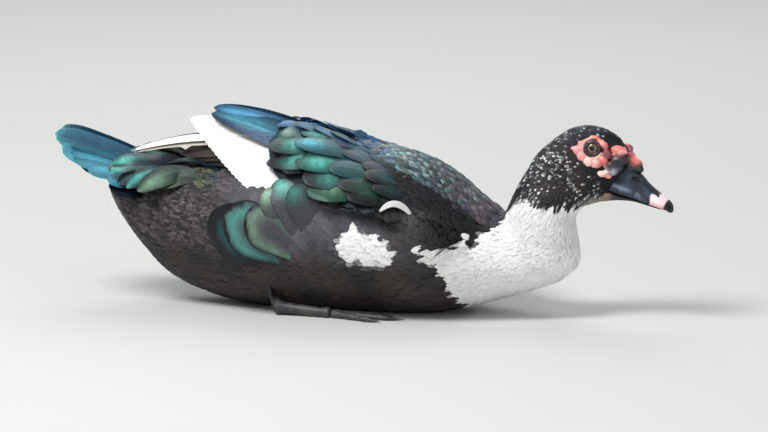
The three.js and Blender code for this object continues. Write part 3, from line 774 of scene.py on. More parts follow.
def patches(root):
    # each feather's corner on an unwrap of the skin: body below, head and neck above
    x, y, z = root.T
    upper = (soft(z, 66, 70) * (x > 146)) > 0.5
    angle = np.arctan2(y, z - line("bodyMiddle", x)) / 6.2832 + 0.5
    turnUp = np.arctan2(y, x - 222) / 6.2832 + 0.5
    u = np.where(upper, turnUp, (x + 265) / 495) * 0.98 + 0.01
    v = np.where(upper, 0.66 + 0.33 * (z - 60) / 140, 0.01 + 0.62 * angle)
    return columns(u, v) - coat["patch"] / 2


def fromOval(p, x, z, length, height, turned):
    # distance from an oval's centre in its own half lengths, seen from the side
    c, s = np.cos(np.radians(turned)), np.sin(np.radians(turned))
    dx, dz = p[:, 0] - x, p[:, 2] - z
    return np.hypot((dx * c + dz * s) / length, (dz * c - dx * s) / height)


def fromBare(p):
    # at most 1 inside a lump of the bare face or the ring round the eye, seen from the side
    x, _, z = eye["at"]
    ring = fromMark(p, (x, z, eye["bare"], eye["bare"]))
    return np.min([fromOval(p, *lump[:5]) for lump in faceLumps] + [ring], 0)


def coatSize(p):
    # spacing, length and width of the feathers at a point
    white, mantle, wing = whiteShare(p), mantleShare(p), wingShare(p)
    shares = {"white": white, "mantle": mantle, "wing": wing}
    factors = {"wingFront": wing, "shoulderCoat": (1 - white) * (1 - mantle), "neckCoat": white}
    size = np.array(coatSizes["plain"])[None] + np.zeros((len(p), 1))
    for name in list(coatSizes)[1:]:
        share = shares[name] if name in shares else within(p, name) * factors.get(name, 1)
        size = blend(size, np.array(coatSizes[name])[None], share)
    return size.T


spot, spotNormal = seeds(coat["places"], coat["seed"])
kept = thin(spot, coatSize(spot)[0])
spot, spotNormal = spot[kept], spotNormal[kept]
x, y, z = spot[:, 0], np.abs(spot[:, 1]), spot[:, 2]
# no feathers under the folded wing and in the covered places
hidden = (wingShare(spot) > 0.5) & (x < 0) & (y > line("ridge", x) + coat["ridgeGap"])
for fromX, toX, lowestZ, outerY in covered.values():
    hidden |= (x > fromX) & (x < toX) & (z > lowestZ) & (y < outerY)
kept = (z > coat["lowestRoot"]) & ~hidden
spot, spotNormal = spot[kept], spotNormal[kept]
headPart = within(spot, "headCoat") > 0.5
neckPart = ~headPart & (within(spot, "neckPiece") > 0.3)
bodyPart = ~headPart & ~neckPart
print("coat places", len(spot), headPart.sum(), neckPart.sum(), bodyPart.sum())


def bodyTint(root, far, a, s, owner, draw):
    # the coat's colour under the feather's middle, a little brighter or darker by feather, with painted shade
    # toward the root where other feathers lie over it, except on white feathers
    middle = mix(root, far, 0.5)
    white = whiteShare(middle)[:, None]
    shade = mix(draw.uniform(0.82, 1.18, (len(root), 1)), 1, white)
    # painted shade: darker toward the feather's root
    fade = mix(0.8, 1.05, soft(a, 0.2, 0.8))[:, None]
    return (coatColour(middle) * shade)[owner] * mix(fade, 1, white[owner])


def gleamTint(root, far, a, s, owner, draw):
    # dark feathers whose outer half gleams: sky, mist, glow and mauve on the mantle, partly the feathers' own
    # iridescent colour and partly painted sheen, and moss tips on the rump
    n = len(root)
    base = coatColour(root) * draw.uniform(0.8, 1.2, (n, 1))
    mantle, rump, white = mantleShare(root)[:, None], within(root, "rump")[:, None], whiteShare(root)[:, None]
    x = root[:, :1]
    place = 0.5 + 0.6 * ripple(root, 24, 33)[:, None] + 0.2 * draw.normal(size=(n, 1))
    tone = mix(colours["sky"] * 0.8, colours["mist"] * 1.45, soft(place + 0.012 * (x - 40), 0.2, 0.7))
    tone = mix(tone, colours["glow"] * 0.8, soft(place, 0.75, 1.1) * soft(x, 110, 40))
    tone = mix(tone, colours["mauve"] * 1.1, soft(x + 24 * draw.normal(size=(n, 1)), 80, 130))
    tone = mix(tone, mix(colours["pine"], colours["moss"] * 1.2, draw.random((n, 1))), rump)
    fade = soft(root[:, 2:], 112, 132)
    tone = tone * mix(0.65, 1.2, soft(ripple(root, 13, 34)[:, None], -0.5, 0.3))
    dark = draw.random((n, 1)) < 0.2
    tipped = rump * fade * (draw.random((n, 1)) > 0.4)
    strength = mantle * np.where(dark, 0.05, draw.uniform(0.6, 1.2, (n, 1))) + tipped
    place = root[owner] + (far - root)[owner] * a[:, None] + 4 * s[:, None]
    mark = mix(0.25, 1.0, soft(ripple(place, 11, 35), -0.4, 0.2))
    mark = mark * soft(a, 0.3, 0.8) * soft(np.abs(s), 1.1, 0.2)
    # painted shade toward the root, where other feathers lie over it; white feathers have none
    base = base[owner] * mix(mix(0.6, 1.0, soft(a, 0.2, 0.7))[:, None], 1, white[owner])
    return mix(base, tone[owner], (strength * (1 - white))[owner] * mark[:, None])


def headTint(root, far, a, s, owner, draw):
    # black with whitish flecks in patches, most of them faint, and a little more of them on the nape
    n = len(root)
    base = coatColour(root) * draw.uniform(0.6, 1.5, (n, 1))
    patch = soft(ripple(root, 24, 31) + 0.6 * ripple(root, 9, 32), -0.4, 0.8)
    dense = (0.1 + 0.4 * patch + 0.14 * within(root, "nape")) * soft(root[:, 0], 264, 254)
    fleck = (draw.random(n) < dense * within(root, "fleckedHead"))[:, None]
    white = mix(colours["slate"], colours["white"], draw.uniform(0, 1, (n, 1)) ** 2.2)
    return mix(base[owner], white[owner], fleck[owner] * soft(a, 0.3, 0.7)[:, None])


def neckTint(root, far, a, s, owner, draw):
    # one colour for the whole feather, read at three quarters of its length
    return (coatColour(mix(root, far, 0.75)) * draw.uniform(0.97, 1.02, (len(root), 1)))[owner]


def coatPiece(name, part, finish, tintOf, rows, cols, outline, seed, camber=0.07):
    # each feather starts in the skin, lies about as lieAt says and ends about the coat's depth over the skin
    draw = np.random.default_rng(seed)
    root, normal = spot[part], spotNormal[part]
    n, (_, length, width) = len(root), coatSize(root)
    lie = lieAt(root) + 0.1 * draw.normal(size=(n, 3))
    lie = unit(lie - normal * (lie * normal).sum(-1, keepdims=True))
    lie = lie * (length * draw.uniform(0.88, 1.12, n))[:, None]
    low, lowNormal = nearest(root + lie * 0.55)
    far, farNormal = nearest(root + lie)
    height = (coatDepth(root) * draw.uniform(0.75, 1.15, n))[:, None]
    points, faces, a, s, owner = vanes(
        root - normal * coat["rootDepth"], low + lowNormal * height * 0.75, far + farNormal * height, normal,
        width * draw.uniform(0.9, 1.1, n), outline, rows, cols, camber, tipFace=farNormal)
    points[:, 2] = np.maximum(points[:, 2], coat["lowest"])
    vane = columns(s / 2 + 0.5, a)
    uvs = {"vane": vane, "OFBake": patches(root)[owner] + coat["patch"] * vane}
    mesh = meshFrom(name, points, faces, uvs, tintOf(root, far, a, s, owner, draw), rimOf(a, s))
    print(name, n, "feathers", len(mesh.polygons), "faces")
    makePiece(name, mesh, finish)


onWing = wingShare(spot) > 0.5
gleams = (np.maximum(mantleShare(spot), within(spot, "rump")) > 0.3) & ~onWing & (whiteShare(spot) < 0.5)
plain = bodyPart & ~gleams & ~onWing
pale = whiteShare(spot + lieAt(spot) * coatSize(spot)[1][:, None] * 0.5) > 0.5
high, rear = spot[:, 2] > coat["bellyTop"], spot[:, 0] < coat["rearEnd"]
clear = fromBare(spot) > coat["bareEdge"]
# name, places, finish, tint, rows and columns of a vane, outline, seed, camber
coatPiece("coatMantle", bodyPart & gleams, "mantle", gleamTint, 5, 4, "covert", 41)
coatPiece("coatWing", bodyPart & onWing, "wingSmall", bodyTint, 4, 4, "covert", 44)
coatPiece("coatFlank", plain & ~pale & high & ~rear, "body", bodyTint, 4, 2, "leaf", 45, 0.03)
coatPiece("coatRear", plain & ~pale & high & rear, "body", bodyTint, 4, 2, "leaf", 48, 0.03)
coatPiece("coatBelly", plain & ~pale & ~high, "body", bodyTint, 4, 2, "leaf", 46)
coatPiece("coatBreast", plain & pale, "neck", bodyTint, 4, 2, "leaf", 47, 0.03)
coatPiece("coatNeck", neckPart, "neck", neckTint, 4, 2, "tuft", 42, 0.02)
coatPiece("coatHead", headPart & clear, "head", headTint, 3, 2, "tuft", 43)

# tiers of large feathers on the bird's left: the first and last of a tier are given by root, tip, width and
# rise, and those between are blended, with a bow at half way. lap tilts their faces, faces gives them,
# tint is the first and last colour, the gleam and its share, and edge puts the gleam along the edge. The
# gleam is painted sheen, and the tint darkens toward a feather's root as painted shade, except on white
# feathers.

wingTiers = {
    "primary": {
        "count": 2, "outline": "flight", "finish": "white", "lap": 0.1,
        "first": ((-60, 16, 163), (-242, 6, 148), 17, 12),
        "last": ((-60, 20, 159), (-236, 9, 147.5), 15, 11), "tint": ("white", "cream", "white", 0)},
    "darkPrimary": {
        "count": 3, "outline": "long", "finish": "dark", "lap": 0.1, "tint": ("brown", "black", "brown", 0.2),
        "first": ((-44, 34, 158), (-182, 12, 151), 24, 8), "last": ((-42, 46, 151), (-158, 24, 145), 20, 5)},
    "secondary": {
        "count": 22, "outline": "long", "finish": "white", "lap": 0.09, "bow": (-4, -2, -2),
        "first": ((-56, 20, 169), (-178, 3, 183.5), 20, 1), "last": ((-24, 79, 141), (-79, 83, 118), 24, 1),
        "tint": ("white", "white", "white", 0)},
    "tertial": {
        "count": 1, "outline": "blade", "finish": "wing", "tint": ("night", "night", "cyan", 0.6),
        "first": ((-42, 32, 165), (-157, 5, 191), 38, 6), "faces": [(0, 0.68, 0.73)]},
    "topTertial": {
        "count": 1, "outline": "long", "finish": "wing", "tint": ("navy", "navy", "sky", 0.9),
        "first": ((-50, 8, 177), (-152, 3, 196), 12, 6), "faces": [(0, 0.85, 0.5)]},
}
tailTiers = {
    "fan": {
        "count": 4, "outline": "long", "finish": "tail", "bow": (-13, -3.7, -1), "edge": True,
        "first": ((-214, 9, 133), (-318, 14, 164.5), 24, 0),
        "last": ((-214, 22, 118), (-257, 35, 129), 24, 0), "faces": [(0, 1, 0.3), (0, 0.5, 0.85)],
        "tint": ("dusk", "lagoon", "glow", 0.55)},
    "top": {
        "count": 5, "outline": "long", "finish": "tail", "lap": 0.05, "tint": ("dusk", "lagoon", "cyan", 0.5),
        "first": ((-214, 5, 134), (-306, 7, 156), 28, 2), "last": ((-206, 30, 119), (-250, 54, 126), 26, 2),
        "bow": (-10, 5, 1), "faces": [(0, 0.3, 1), (0, 0.5, 0.87)]},
    "rump": {
        "count": 1, "outline": "covert", "finish": "tail", "tint": ("pine", "pine", "glow", 0.4),
        "first": ((-168, 8, 135), (-238, 7, 151), 27, 4), "faces": [(0, 0.35, 0.94)]},
    "under": {
        "count": 1, "outline": "long", "finish": "tail", "tint": ("soot", "soot", "navy", 0.3),
        "first": ((-206, 30, 114), (-246, 56, 118), 32, 0), "faces": [(0, 0.4, 0.92)]},
}


def tierVanes(tier, side, seed):
    # faces look out of the sheet that the tier's roots and tips span, or as the tier says, and are tilted by
    # lap like shingles
    draw = np.random.default_rng(seed)
    n = tier["count"]
    f = np.linspace(0, 1, n)
    ends = tier["first"], tier.get("last", tier["first"])
    bow = np.array(tier.get("bow", (0, 0, 0)), float)
    place = lambda key, t: (blend(*(np.array(end[key], float) for end in ends), t)
                            + 4 * (t * (1 - t))[:, None] * bow)
    root, tip = place(0, f), place(1, f)
    width, rise = (mix(ends[0][key], ends[1][key], f) for key in (2, 3))
    gap = 0.5 / max(n - 1, 1)
    spread = unit(place(1, np.minimum(f + gap, 1)) - place(1, np.maximum(f - gap, 0)))
    face = unit(np.cross(tip - root, spread))
    face *= np.sign(face @ np.array([0, 0.7, 0.7]))[:, None]
    if "faces" in tier:
        face = unit(blend(np.array(tier["faces"][:1]), np.array(tier["faces"][-1:]), f))
    face = unit(face - spread * tier.get("lap", 0))
    width = width * draw.uniform(0.96, 1.05, n)
    uneven = 0.004 if tier["finish"] == "white" else 0.02
    tip = tip + (tip - root) * draw.uniform(-uneven, uneven, (n, 1))
    middle = (root + tip) / 2 + face * (rise * draw.uniform(0.8, 1.3, n))[:, None]
    for v in (root, tip, middle, face):
        v[:, 1] *= side
    points, faces, a, s, owner = vanes(root, middle, tip, face, width, tier["outline"], **largeVane)
    first, last, glow, amount = tier["tint"]
    base = blend(colours[first], colours[last], np.sqrt(f)) * draw.uniform(0.85, 1.15, (n, 1))
    patch = hump(s, draw.uniform(-0.5, 0.3, n)[owner], 0.5) * soft(a, 0.15, 0.7) * soft(a, 1.05, 0.8)
    if "edge" in tier:
        patch = np.maximum(soft(side * s, 0.2, 0.8), 0.6 * soft(a, 0.88, 1)) * soft(a, 0.2, 0.7)
    strength = amount * draw.uniform(0.4, 1.1, n)[owner] * patch
    # painted shade toward the root, with the gleam laid over it as painted sheen
    tint = blend(base[owner] * (0.55 + 0.45 * soft(a, 0, 0.5))[:, None], colours[glow], strength)
    return points, faces, a, s, owner, base[owner] if tier["finish"] == "white" else tint


def laid(rows, **shared):
    # names the columns of a table of laid feathers and fills in what a row leaves out
    names = ("root", "tip", "width", "lift", "colour", "gleam", "share", "spot")
    usual = {"outline": "oval", "lap": 0.1, "near": 0, "rings": 0, **shared}
    halfway = lambda row: {"middle": np.add(row[0], row[1]) / 2}
    return [{**usual, **halfway(row), **dict(zip(names, row)), **dict(*row[8:])} for row in rows]


# feathers laid on the skin by their places in the photo's pixels: root, tip, width and lift in mm, colour,
# gleam, its share and its place along the feather. A row may end with a middle in pixels, an outline, how
# far the tip comes near to the camera, the lap of its face, or the radius of a gleaming arc in its tip.
# the gleam and the gleaming arc are painted sheen
wingFeathers = laid([
    ((388, 154), (348, 139), 17, 2, "navy", "dusk", 0.8, 0.6),
    ((372, 149), (330, 132), 17, 2, "navy", "dusk", 0.8, 0.6),
    ((354, 143), (313, 127), 17, 2, "dusk", "sky", 0.5, 0.7),
    ((336, 138), (294, 122), 16, 2, "dusk", "sky", 0.6, 0.7),
    ((310, 137), (272, 138), 24, 8, "teal", "lime", 0.7, 0.6),
    ((322, 147), (271, 151), 32, 9, "pine", "glow", 0.8, 0.5),
    ((320, 158), (271, 166), 36, 9, "plum", "glow", 0.7, 0.45),
    ((316, 168), (284, 175), 16, 7, "soot", "ash", 0.5, 0.5),
    ((322, 132), (271, 121), 17, 3, "blue", "sky", 0.8, 0.75),
    ((352, 145), (301, 134), 18, 3, "teal", "glow", 0.6, 0.7),
    ((354, 153), (295, 148), 28, 8, "teal", "cyan", 1.0, 0.75),
    ((352, 165), (296, 167), 34, 8, "green", "glow", 1.0, 0.6),
    ((358, 179), (303, 181), 38, 7, "plum", "glow", 0.5, 0.5),
    ((362, 191), (308, 194), 34, 7, "green", "lime", 0.8, 0.55),
    ((374, 151), (319, 137), 17, 2, "night", "blue", 0.8, 0.6),
    ((388, 166), (343, 153), 20, 3, "night", "teal", 0.9, 0.6),
    ((382, 174), (329, 171), 30, 6, "teal", "green", 0.7, 0.5),
    ((388, 186), (338, 186), 32, 6, "pine", "green", 0.9, 0.5),
    ((394, 198), (346, 197), 30, 6, "black", "green", 0.7, 0.5),
    ((404, 177), (362, 165), 20, 3, "black", "blue", 0.6, 0.5),
    ((408, 185), (364, 176), 24, 5, "black", "teal", 0.7, 0.5),
    ((413, 197), (372, 189), 24, 5, "black", "teal", 0.4, 0.5),
])
flankFeathers = laid([
    ((284, 262), (210, 226), 64, 6, "pine", "teal", 1.0, 0.8,
     {"middle": (246, 236), "outline": "broad", "rings": 0.68}),
    ((292, 260), (229, 215), 58, 8, "steel", "glow", 0.5, 0.8,
     {"middle": (258, 232), "outline": "broad", "rings": 0.92}),
    ((302, 258), (250, 215), 50, 10, "steel", "lime", 0.5, 0.8,
     {"middle": (274, 230), "outline": "broad", "rings": 0.92}),
    ((294, 236), (271, 193), 30, 12, "steel", "lime", 0.9, 0.85, {"middle": (280, 210)}),
    ((304, 236), (281, 186), 32, 13, "steel", "glow", 0.7, 0.85, {"middle": (292, 206)}),
    ((316, 236), (296, 190), 32, 13, "steel", "glow", 0.55, 0.85, {"middle": (306, 208)}),
    ((414, 219), (379, 215), 9, 6, "white", "white", 0.0, 0.5, {"middle": (396, 208), "outline": "arc"}),
])
tailFeathers = laid([
    ((186, 165), (103, 165), 24, 7, "slate", "glow", 0.8, 0.85, {"middle": (146, 158), "near": 8}),
    ((190, 169), (108, 180), 28, 8, "pine", "glow", 1.0, 0.85, {"middle": (150, 164), "near": 14}),
    ((194, 174), (122, 190), 30, 8, "slate", "mist", 1.0, 0.7, {"middle": (158, 170), "near": 18}),
    ((198, 176), (130, 193), 26, 8, "slate", "glow", 0.8, 0.85, {"middle": (164, 173), "near": 18}),
    ((200, 178), (141, 196), 28, 8, "pine", "lime", 0.8, 0.8, {"middle": (172, 178), "near": 18}),
    ((204, 181), (154, 193), 24, 6, "pine", "moss", 0.8, 0.8, {"middle": (180, 180), "near": 8}),
    ((232, 172), (164, 172), 20, 9, "night", "green", 1.0, 0.6,
     {"middle": (199, 165), "near": 8, "outline": "oval", "lap": 0.1}),
], outline="fan", lap=-0.25)
# depth of a root in the skin; how far before the bird a line of sight starts, and the y that it has to pass;
# how far toward the camera a place beside the bird looks for skin; the share of the rest that drape leaves
laying = {"rootDepth": 1.5, "start": 600, "sideReach": -3, "beside": 10, "loose": 0.15}


def seen(spots):
    # the skin's points and normals on the near side under places of the photo; past the bird's outline,
    # the place on the line of sight that is nearest to the skin point beside it
    step = camera["span"] / camera["frame"][0] * (np.array(spots, float) - np.array(camera["frame"]) / 2)
    flat = np.array(camera["aim"]) + step[:, :1] * np.array(rightward) - step[:, 1:] * np.array(upward)
    found = []
    for p in map(Vector, flat):
        hit, normal, *_ = skinTree.ray_cast(p + back * laying["start"], -back)
        if hit is None or hit[1] > laying["sideReach"]:
            close, normal, *_ = skinTree.find_nearest(p + back * laying["beside"])
            hit = p + back * (close - p).dot(back)
        found.append((hit, normal))
    return np.array(found)[:, 0], np.array(found)[:, 1]


def drape(points, reach):
    # draws points that stand farther than reach off the skin in to it, all but a small part of the rest
    close = nearest(points)[0]
    away = np.linalg.norm(points - close, axis=1)
    short = np.minimum(away, reach) + laying["loose"] * np.maximum(away - reach, 0)
    return close + (points - close) * (short / np.maximum(away, 0.01))[:, None]


def laidVanes(rows, side, seed):
    # each vane starts in the skin, passes over its middle at three quarters of the lift or more, and ends at
    # the full lift
    draw = np.random.default_rng(seed)
    n = len(rows)
    column = lambda key: np.array([row[key] for row in rows], float)
    tones = lambda key: np.array([colours[row[key]] for row in rows])
    (root, rootNormal), (tip, tipNormal) = seen(column("root")), seen(column("tip"))
    middle, face = seen(column("middle"))
    width, lift = column("width"), column("lift")[:, None]
    near = column("near")[:, None] * np.array(back)
    root = root - rootNormal * laying["rootDepth"]
    tip = tip + unit(tipNormal + face) * lift
    proud = np.maximum(((root + tip) / 2 - middle) * face, 0).sum(-1, keepdims=True)
    middle = middle + face * np.maximum(proud, lift * 0.75)
    down = unit(np.cross(tip - root, face))
    down = down * np.where(down[:, 2:] > 0, -1, 1)
    tip, middle = tip + near, middle + near * 0.4
    face = unit(face - down * column("lap")[:, None])
    for v in (root, tip, middle, face):
        v[:, 1] *= -side
    one = lambda k: [v[k:k + 1] for v in (root, middle, tip, face, width)]
    parts = [vanes(*one(k), row["outline"], **laidVane) for k, row in enumerate(rows)]
    points, faces = stack([part[:2] for part in parts])
    a, s = (np.concatenate([part[k] for part in parts]) for k in (2, 3))
    owner = np.repeat(np.arange(n), len(parts[0][0]))
    points = drape(points, lift[owner, 0] + laying["rootDepth"] + np.linalg.norm(near, axis=1)[owner])
    # the gleam is painted sheen: a patch across the feather, or an arc in a broad one
    base, gleam = tones("colour") * draw.uniform(0.5, 0.7, (n, 1)), tones("gleam") * 0.75
    centre = draw.uniform(-0.35, 0.25, n)
    patch = hump(s, centre[owner], 0.6) * hump(a, column("spot")[owner], 0.22)
    # the gleaming arc of a broad feather, painted sheen, lies inside its dark tip
    rings = column("rings")[owner]
    reach = np.hypot(s, np.maximum(a - 0.45, 0) / 0.55)
    patch = np.where(rings > 0, hump(reach - rings, -0.2, 0.24), patch) * (1 + 0.2 * np.sin(a * 40 + s * 3))
    tint = blend(base[owner], gleam[owner], np.clip(column("share")[owner] * patch, 0, 1))
    tint = blend(tint, colours["black"], (rings > 0) * soft(reach, rings, rings + 0.1))
    return points, faces, a, s, owner, mix(tint, colours["soot"], soft(points[:, 2:], 66, 50))


def tierPiece(name, groups, seed, finish, nodes=()):
    # joins tiers or laid feathers into a mesh; each feather has its own cell in the bake map
    made = [(tierVanes if isinstance(group, dict) else laidVanes)(group, side, seed + k)
            for k, (group, side) in enumerate(groups)]
    points, faces = stack([part[:2] for part in made])
    a, s, tint = (np.concatenate([part[k] for part in made]) for k in (2, 3, 5))
    first = np.cumsum([0] + [part[4][-1] + 1 for part in made])
    cell = np.concatenate([part[4] + start for part, start in zip(made, first)])
    vane, wide = columns(s / 2 + 0.5, a), int(np.ceil(np.sqrt(first[-1])))
    bake = (columns(cell % wide, cell // wide) + 0.05 + 0.9 * vane) / wide
    mesh = meshFrom(name, points, faces, {"vane": vane, "OFBake": bake}, tint, rimOf(a, s))
    print(name, first[-1], "feathers", len(mesh.polygons), "faces")
    makePiece(name, mesh, finish, nodes)


for label, side in sides.items():
    pick = lambda finish: [(tier, side) for tier in wingTiers.values() if tier["finish"] == finish]
    wingNode = "wing_" + label.lower()
    tierPiece("wing" + label, pick("wing") + [(wingFeathers, side)], 60, "wing", (wingNode,))
    tierPiece("whiteFeathers" + label, pick("white"), 70, "white")
    tierPiece("darkPrimaries" + label, pick("dark"), 80, "dark")
    tierPiece("flank" + label, [(flankFeathers, side)], 90, "flank")
tailParts = [(part, side) for side in sides.values() for part in [*tailTiers.values(), tailFeathers]]
tierPiece("tail", tailParts, 95, "tail", ("tail",))

# face: bare warty skin fused from lumps that sit on the head, and the knob over the bill

# pale and slate stand for painted highlights on the bare skin
faceColours = palette({"red": "cf6c63", "pink": "db8d8b", "pale": "ecbfb8", "wine": "7a3b42",
                       "ink": "14171d", "slate": "8395a3"})
# the slate lump of the knob is a painted highlight
# centre, radii, turn in degrees, colour
knob = [((286.5, 0, 160.5), (9.2, 6.4, 4.4), -32, "red"), ((289, 0, 153.5), (7, 6.4, 4.8), -20, "ink"),
        ((282, -2.5, 155), (7, 6, 7), -30, "ink"), ((280, 4.5, 170.5), (3.2, 2.6, 3.2), 0, "wine"),
        ((283, 3.6, 166.5), (2.8, 2.6, 2.6), 0, "red"), ((284.5, 4.2, 158.4), (4.2, 3, 3.2), -30, "slate"),
        ((278, 0, 163), (7, 8, 7), -40, "ink")]
# warts are tried at places in a box of x, y and z, and beads lie behind and below the eye, by degrees round
# it; voxel and rounds are those of the whole face
warts = {"seed": 7, "box": ((224, 0, 144), (284, 0, 191)), "tries": 900, "count": 50, "size": (1.2, 2.4),
         "offEye": 10.5, "voxel": 0.65, "rounds": 10, "sunk": 1.2}
beads = {"first": 150, "last": 340, "step": 10, "offEye": 10.9, "sunk": 1.4, "radii": (3.0, 2.4, 3.0)}


def headSide(x, z):
    # half width of the head's form at x and z
    rows = np.array(skin["head"])
    top, wide, bottom, half = (np.interp(x, rows[:, 0], rows[:, k]) for k in (1, 2, 3, 4))
    reach = (z - wide) / np.where(z > wide, top - wide, wide - bottom)
    return half * np.sqrt(np.maximum(1 - reach ** 2, 0.02))


draw = np.random.default_rng(warts["seed"])
lumps, lumpAt, lumpColour = [], [], []
for x, z, length, height, turned, proud, colour in faceLumps:
    for side in sides.values():
        y, sunk = headSide(x, z), warts["sunk"]
        lumps.append(bulb((x, side * (y - sunk), z), (length, proud + sunk, height), turned))
        lumpAt.append((x, side * y, z))
        lumpColour.append(faceColours[colour])
for at, radii, turned, colour in knob:
    lumps.append(bulb(at, radii, turned))
    lumpAt.append(at)
    lumpColour.append(faceColours[colour])
ex, _, ez = eye["at"]
wart = draw.uniform(*np.array(warts["box"])[..., None], (3, warts["tries"])).T
offEye = np.hypot(wart[:, 0] - ex, wart[:, 2] - ez) > warts["offEye"]
for x, _, z in wart[(fromBare(wart) < 0.9) & offEye][:warts["count"]]:
    r = draw.uniform(*warts["size"])
    for side in sides.values():
        lumps.append(bulb((x, side * (headSide(x, z) + draw.uniform(0.0, 1.4)), z), (r, r, r), 0, 10, 6))
for angle in np.radians(np.arange(beads["first"], beads["last"], beads["step"])):
    x, z = ex + beads["offEye"] * np.cos(angle), ez + beads["offEye"] * np.sin(angle)
    for side in sides.values():
        lumps.append(bulb((x, side * (headSide(x, z) - beads["sunk"]), z), beads["radii"], 0, 12, 8))
faceMesh, facePoints, faceEdges = fuse(lumps, warts["voxel"], warts["rounds"])
# each lump colours the skin round it; there are pale patches on the red, partly painted highlight, and
# painted shade in the creases with painted highlight on the swellings
curvatureShading = ((facePoints - neighbours(facePoints, faceEdges)) * normalsOf(faceMesh)).sum(-1)
distance = np.linalg.norm(facePoints[:, None] - np.array(lumpAt)[None], axis=-1)
weight = np.exp(-(distance / 3.6) ** 2) + 1e-6
faceTint = (weight @ np.array(lumpColour)) / weight.sum(-1, keepdims=True)
# pale patches on the red skin, partly painted highlight
light = soft(ripple(facePoints, 9, 51), 0.0, 0.9) * 0.5 * soft(faceTint[:, 0], 0.3, 0.5)
# painted shade in the creases and painted highlight on the swellings
faceTint = blend(faceTint, faceColours["pale"], light) * (1 + np.clip(curvatureShading * 9, -0.7, 0.2))[:, None]
setTint(faceMesh, faceTint)
makePiece("faceSkin", faceMesh, "face")
print("face", len(faceMesh.polygons), "faces")

# eyes and lids

eyeColours = palette({"pupil": "030303", "inner": "7d5f38", "outer": "3e2f20", "rim": "141416"})
# the lid is a tube round the eye, in degrees off its axis
lid = {"off": 55, "longer": 2.5, "thickness": 1.8, "thickerTop": 0.3, "around": 72, "tube": 14}
lidColours = palette({"dark": "1b1d22", "light": "3a3f48"})


def eyePiece(label, side):
    # a ball whose colour depends on the angle from its axis: pupil, iris, dark rim
    axis = unit(np.array(eye["axis"]) * (1, side, 1))
    points, faces = bulb((0, 0, 0), (1, 1, 1), 0, 64, 48)
    angle = np.degrees(np.arccos(np.clip(points @ axis, -1, 1)))
    spoke = 1 + 0.18 * ripple(points * 40, 9, 61)[:, None]
    iris = blend(eyeColours["inner"], eyeColours["outer"], soft(angle, 28, 42)) * spoke
    tint = blend(eyeColours["pupil"], iris, soft(angle, eye["pupil"] - 1.5, eye["pupil"] + 1.5))
    tint = blend(tint, eyeColours["rim"], soft(angle, eye["iris"] - 2, eye["iris"] + 2))
    points = points * eye["radius"] + np.array(eye["at"]) * (1, side, 1)
    mesh = meshFrom("eye" + label, *outwards(points, faces), tint=tint)
    makePiece("eye" + label, mesh, "eye", ("eye_" + label.lower(),))


def lidPiece(label, side):
    # the tube's middle line runs round the eyeball at the lid's angle off the axis, a little more in length
    # than in height, and the tube is thicker at the top
    axis = unit(np.array(eye["axis"]) * (1, side, 1))
    level = unit(np.cross(axis, (0, 0, 1.0)))
    t = np.arange(lid["around"]) / lid["around"] * 2 * np.pi
    off = np.radians(lid["off"] + lid["longer"] * np.cos(2 * t))[:, None]
    turned = level * np.cos(t)[:, None] + np.cross(level, axis) * np.sin(t)[:, None]
    ray = axis * np.cos(off) + turned * np.sin(off)
    centre = np.array(eye["at"]) * (1, side, 1) + ray * (eye["radius"] + 0.5)
    outer = unit(np.cross(unit(np.roll(centre, -1, 0) - np.roll(centre, 1, 0)), ray))
    size = (lid["thickness"] + lid["thickerTop"] * np.sin(t))[:, None, None]
    v = (np.arange(lid["tube"]) / lid["tube"] * 2 * np.pi)[:, None]
    points = centre[:, None] + size * (ray[:, None] * 0.8 * np.cos(v) + outer[:, None] * np.sin(v))
    points = points.reshape(-1, 3)
    grid = np.pad(np.arange(len(points)).reshape(len(t), -1), ((0, 1), (0, 1)), "wrap")
    tint = blend(lidColours["dark"], lidColours["light"], soft(ripple(points, 4, 71), -0.3, 0.8))
    mesh = meshFrom("lid" + label, *outwards(points, [gridFaces(grid.T)]), tint=tint)
    makePiece("lid" + label, mesh, "face")


for label, side in sides.items():
    eyePiece(label, side)
    lidPiece(label, side)

# bill

bill = {
    "upper": [(250, 146, 146, 146, 0), (254, 158, 137, 135.4, 9), (266, 160, 131.5, 129.9, 12.2),
              (280, 157, 127.5, 125.9, 12.4), (290, 150.5, 124.5, 122.9, 12), (298, 142, 122, 120.4, 12),
              (306, 134.4, 119.6, 118, 12.6), (313, 129, 117.6, 116, 13), (319, 124.8, 115.6, 114, 11.8),
              (324, 120, 113.8, 112.2, 7.6), (326.8, 115, 115, 115, 0)],
    "lower": [(238, 124, 124, 124, 0), (242, 130, 127, 118, 9), (256, 131, 129, 119, 11.2),
              (270, 127, 125.4, 120.8, 10.8), (286, 124, 123, 120.6, 10.4),
              (300, 120.6, 119.5, 117.6, 10.6), (311, 117, 116.4, 114.8, 10), (317, 115, 114.6, 113.4, 6.5),
              (319.5, 113.6, 113.6, 113.6, 0)],
    "nail": ((322, 0, 115), (5.4, 4, 3.8), -50),
    # x, z, half length, half height, turn in degrees, depth
    "nostril": (290.5, 144.3, 4.9, 2.1, -14, 2.6),
}
billColours = palette({"dark": "0d1016", "blue": "2a3547", "edge": "76859a", "gapeAndShadow": "08090c",
                       "streak": "8e9bb0", "pink": "f3dadb", "rose": "dfa3a6", "nail": "08080a",
                       "hole": "020203", "skin": "8d7464", "lower": "14161b"})


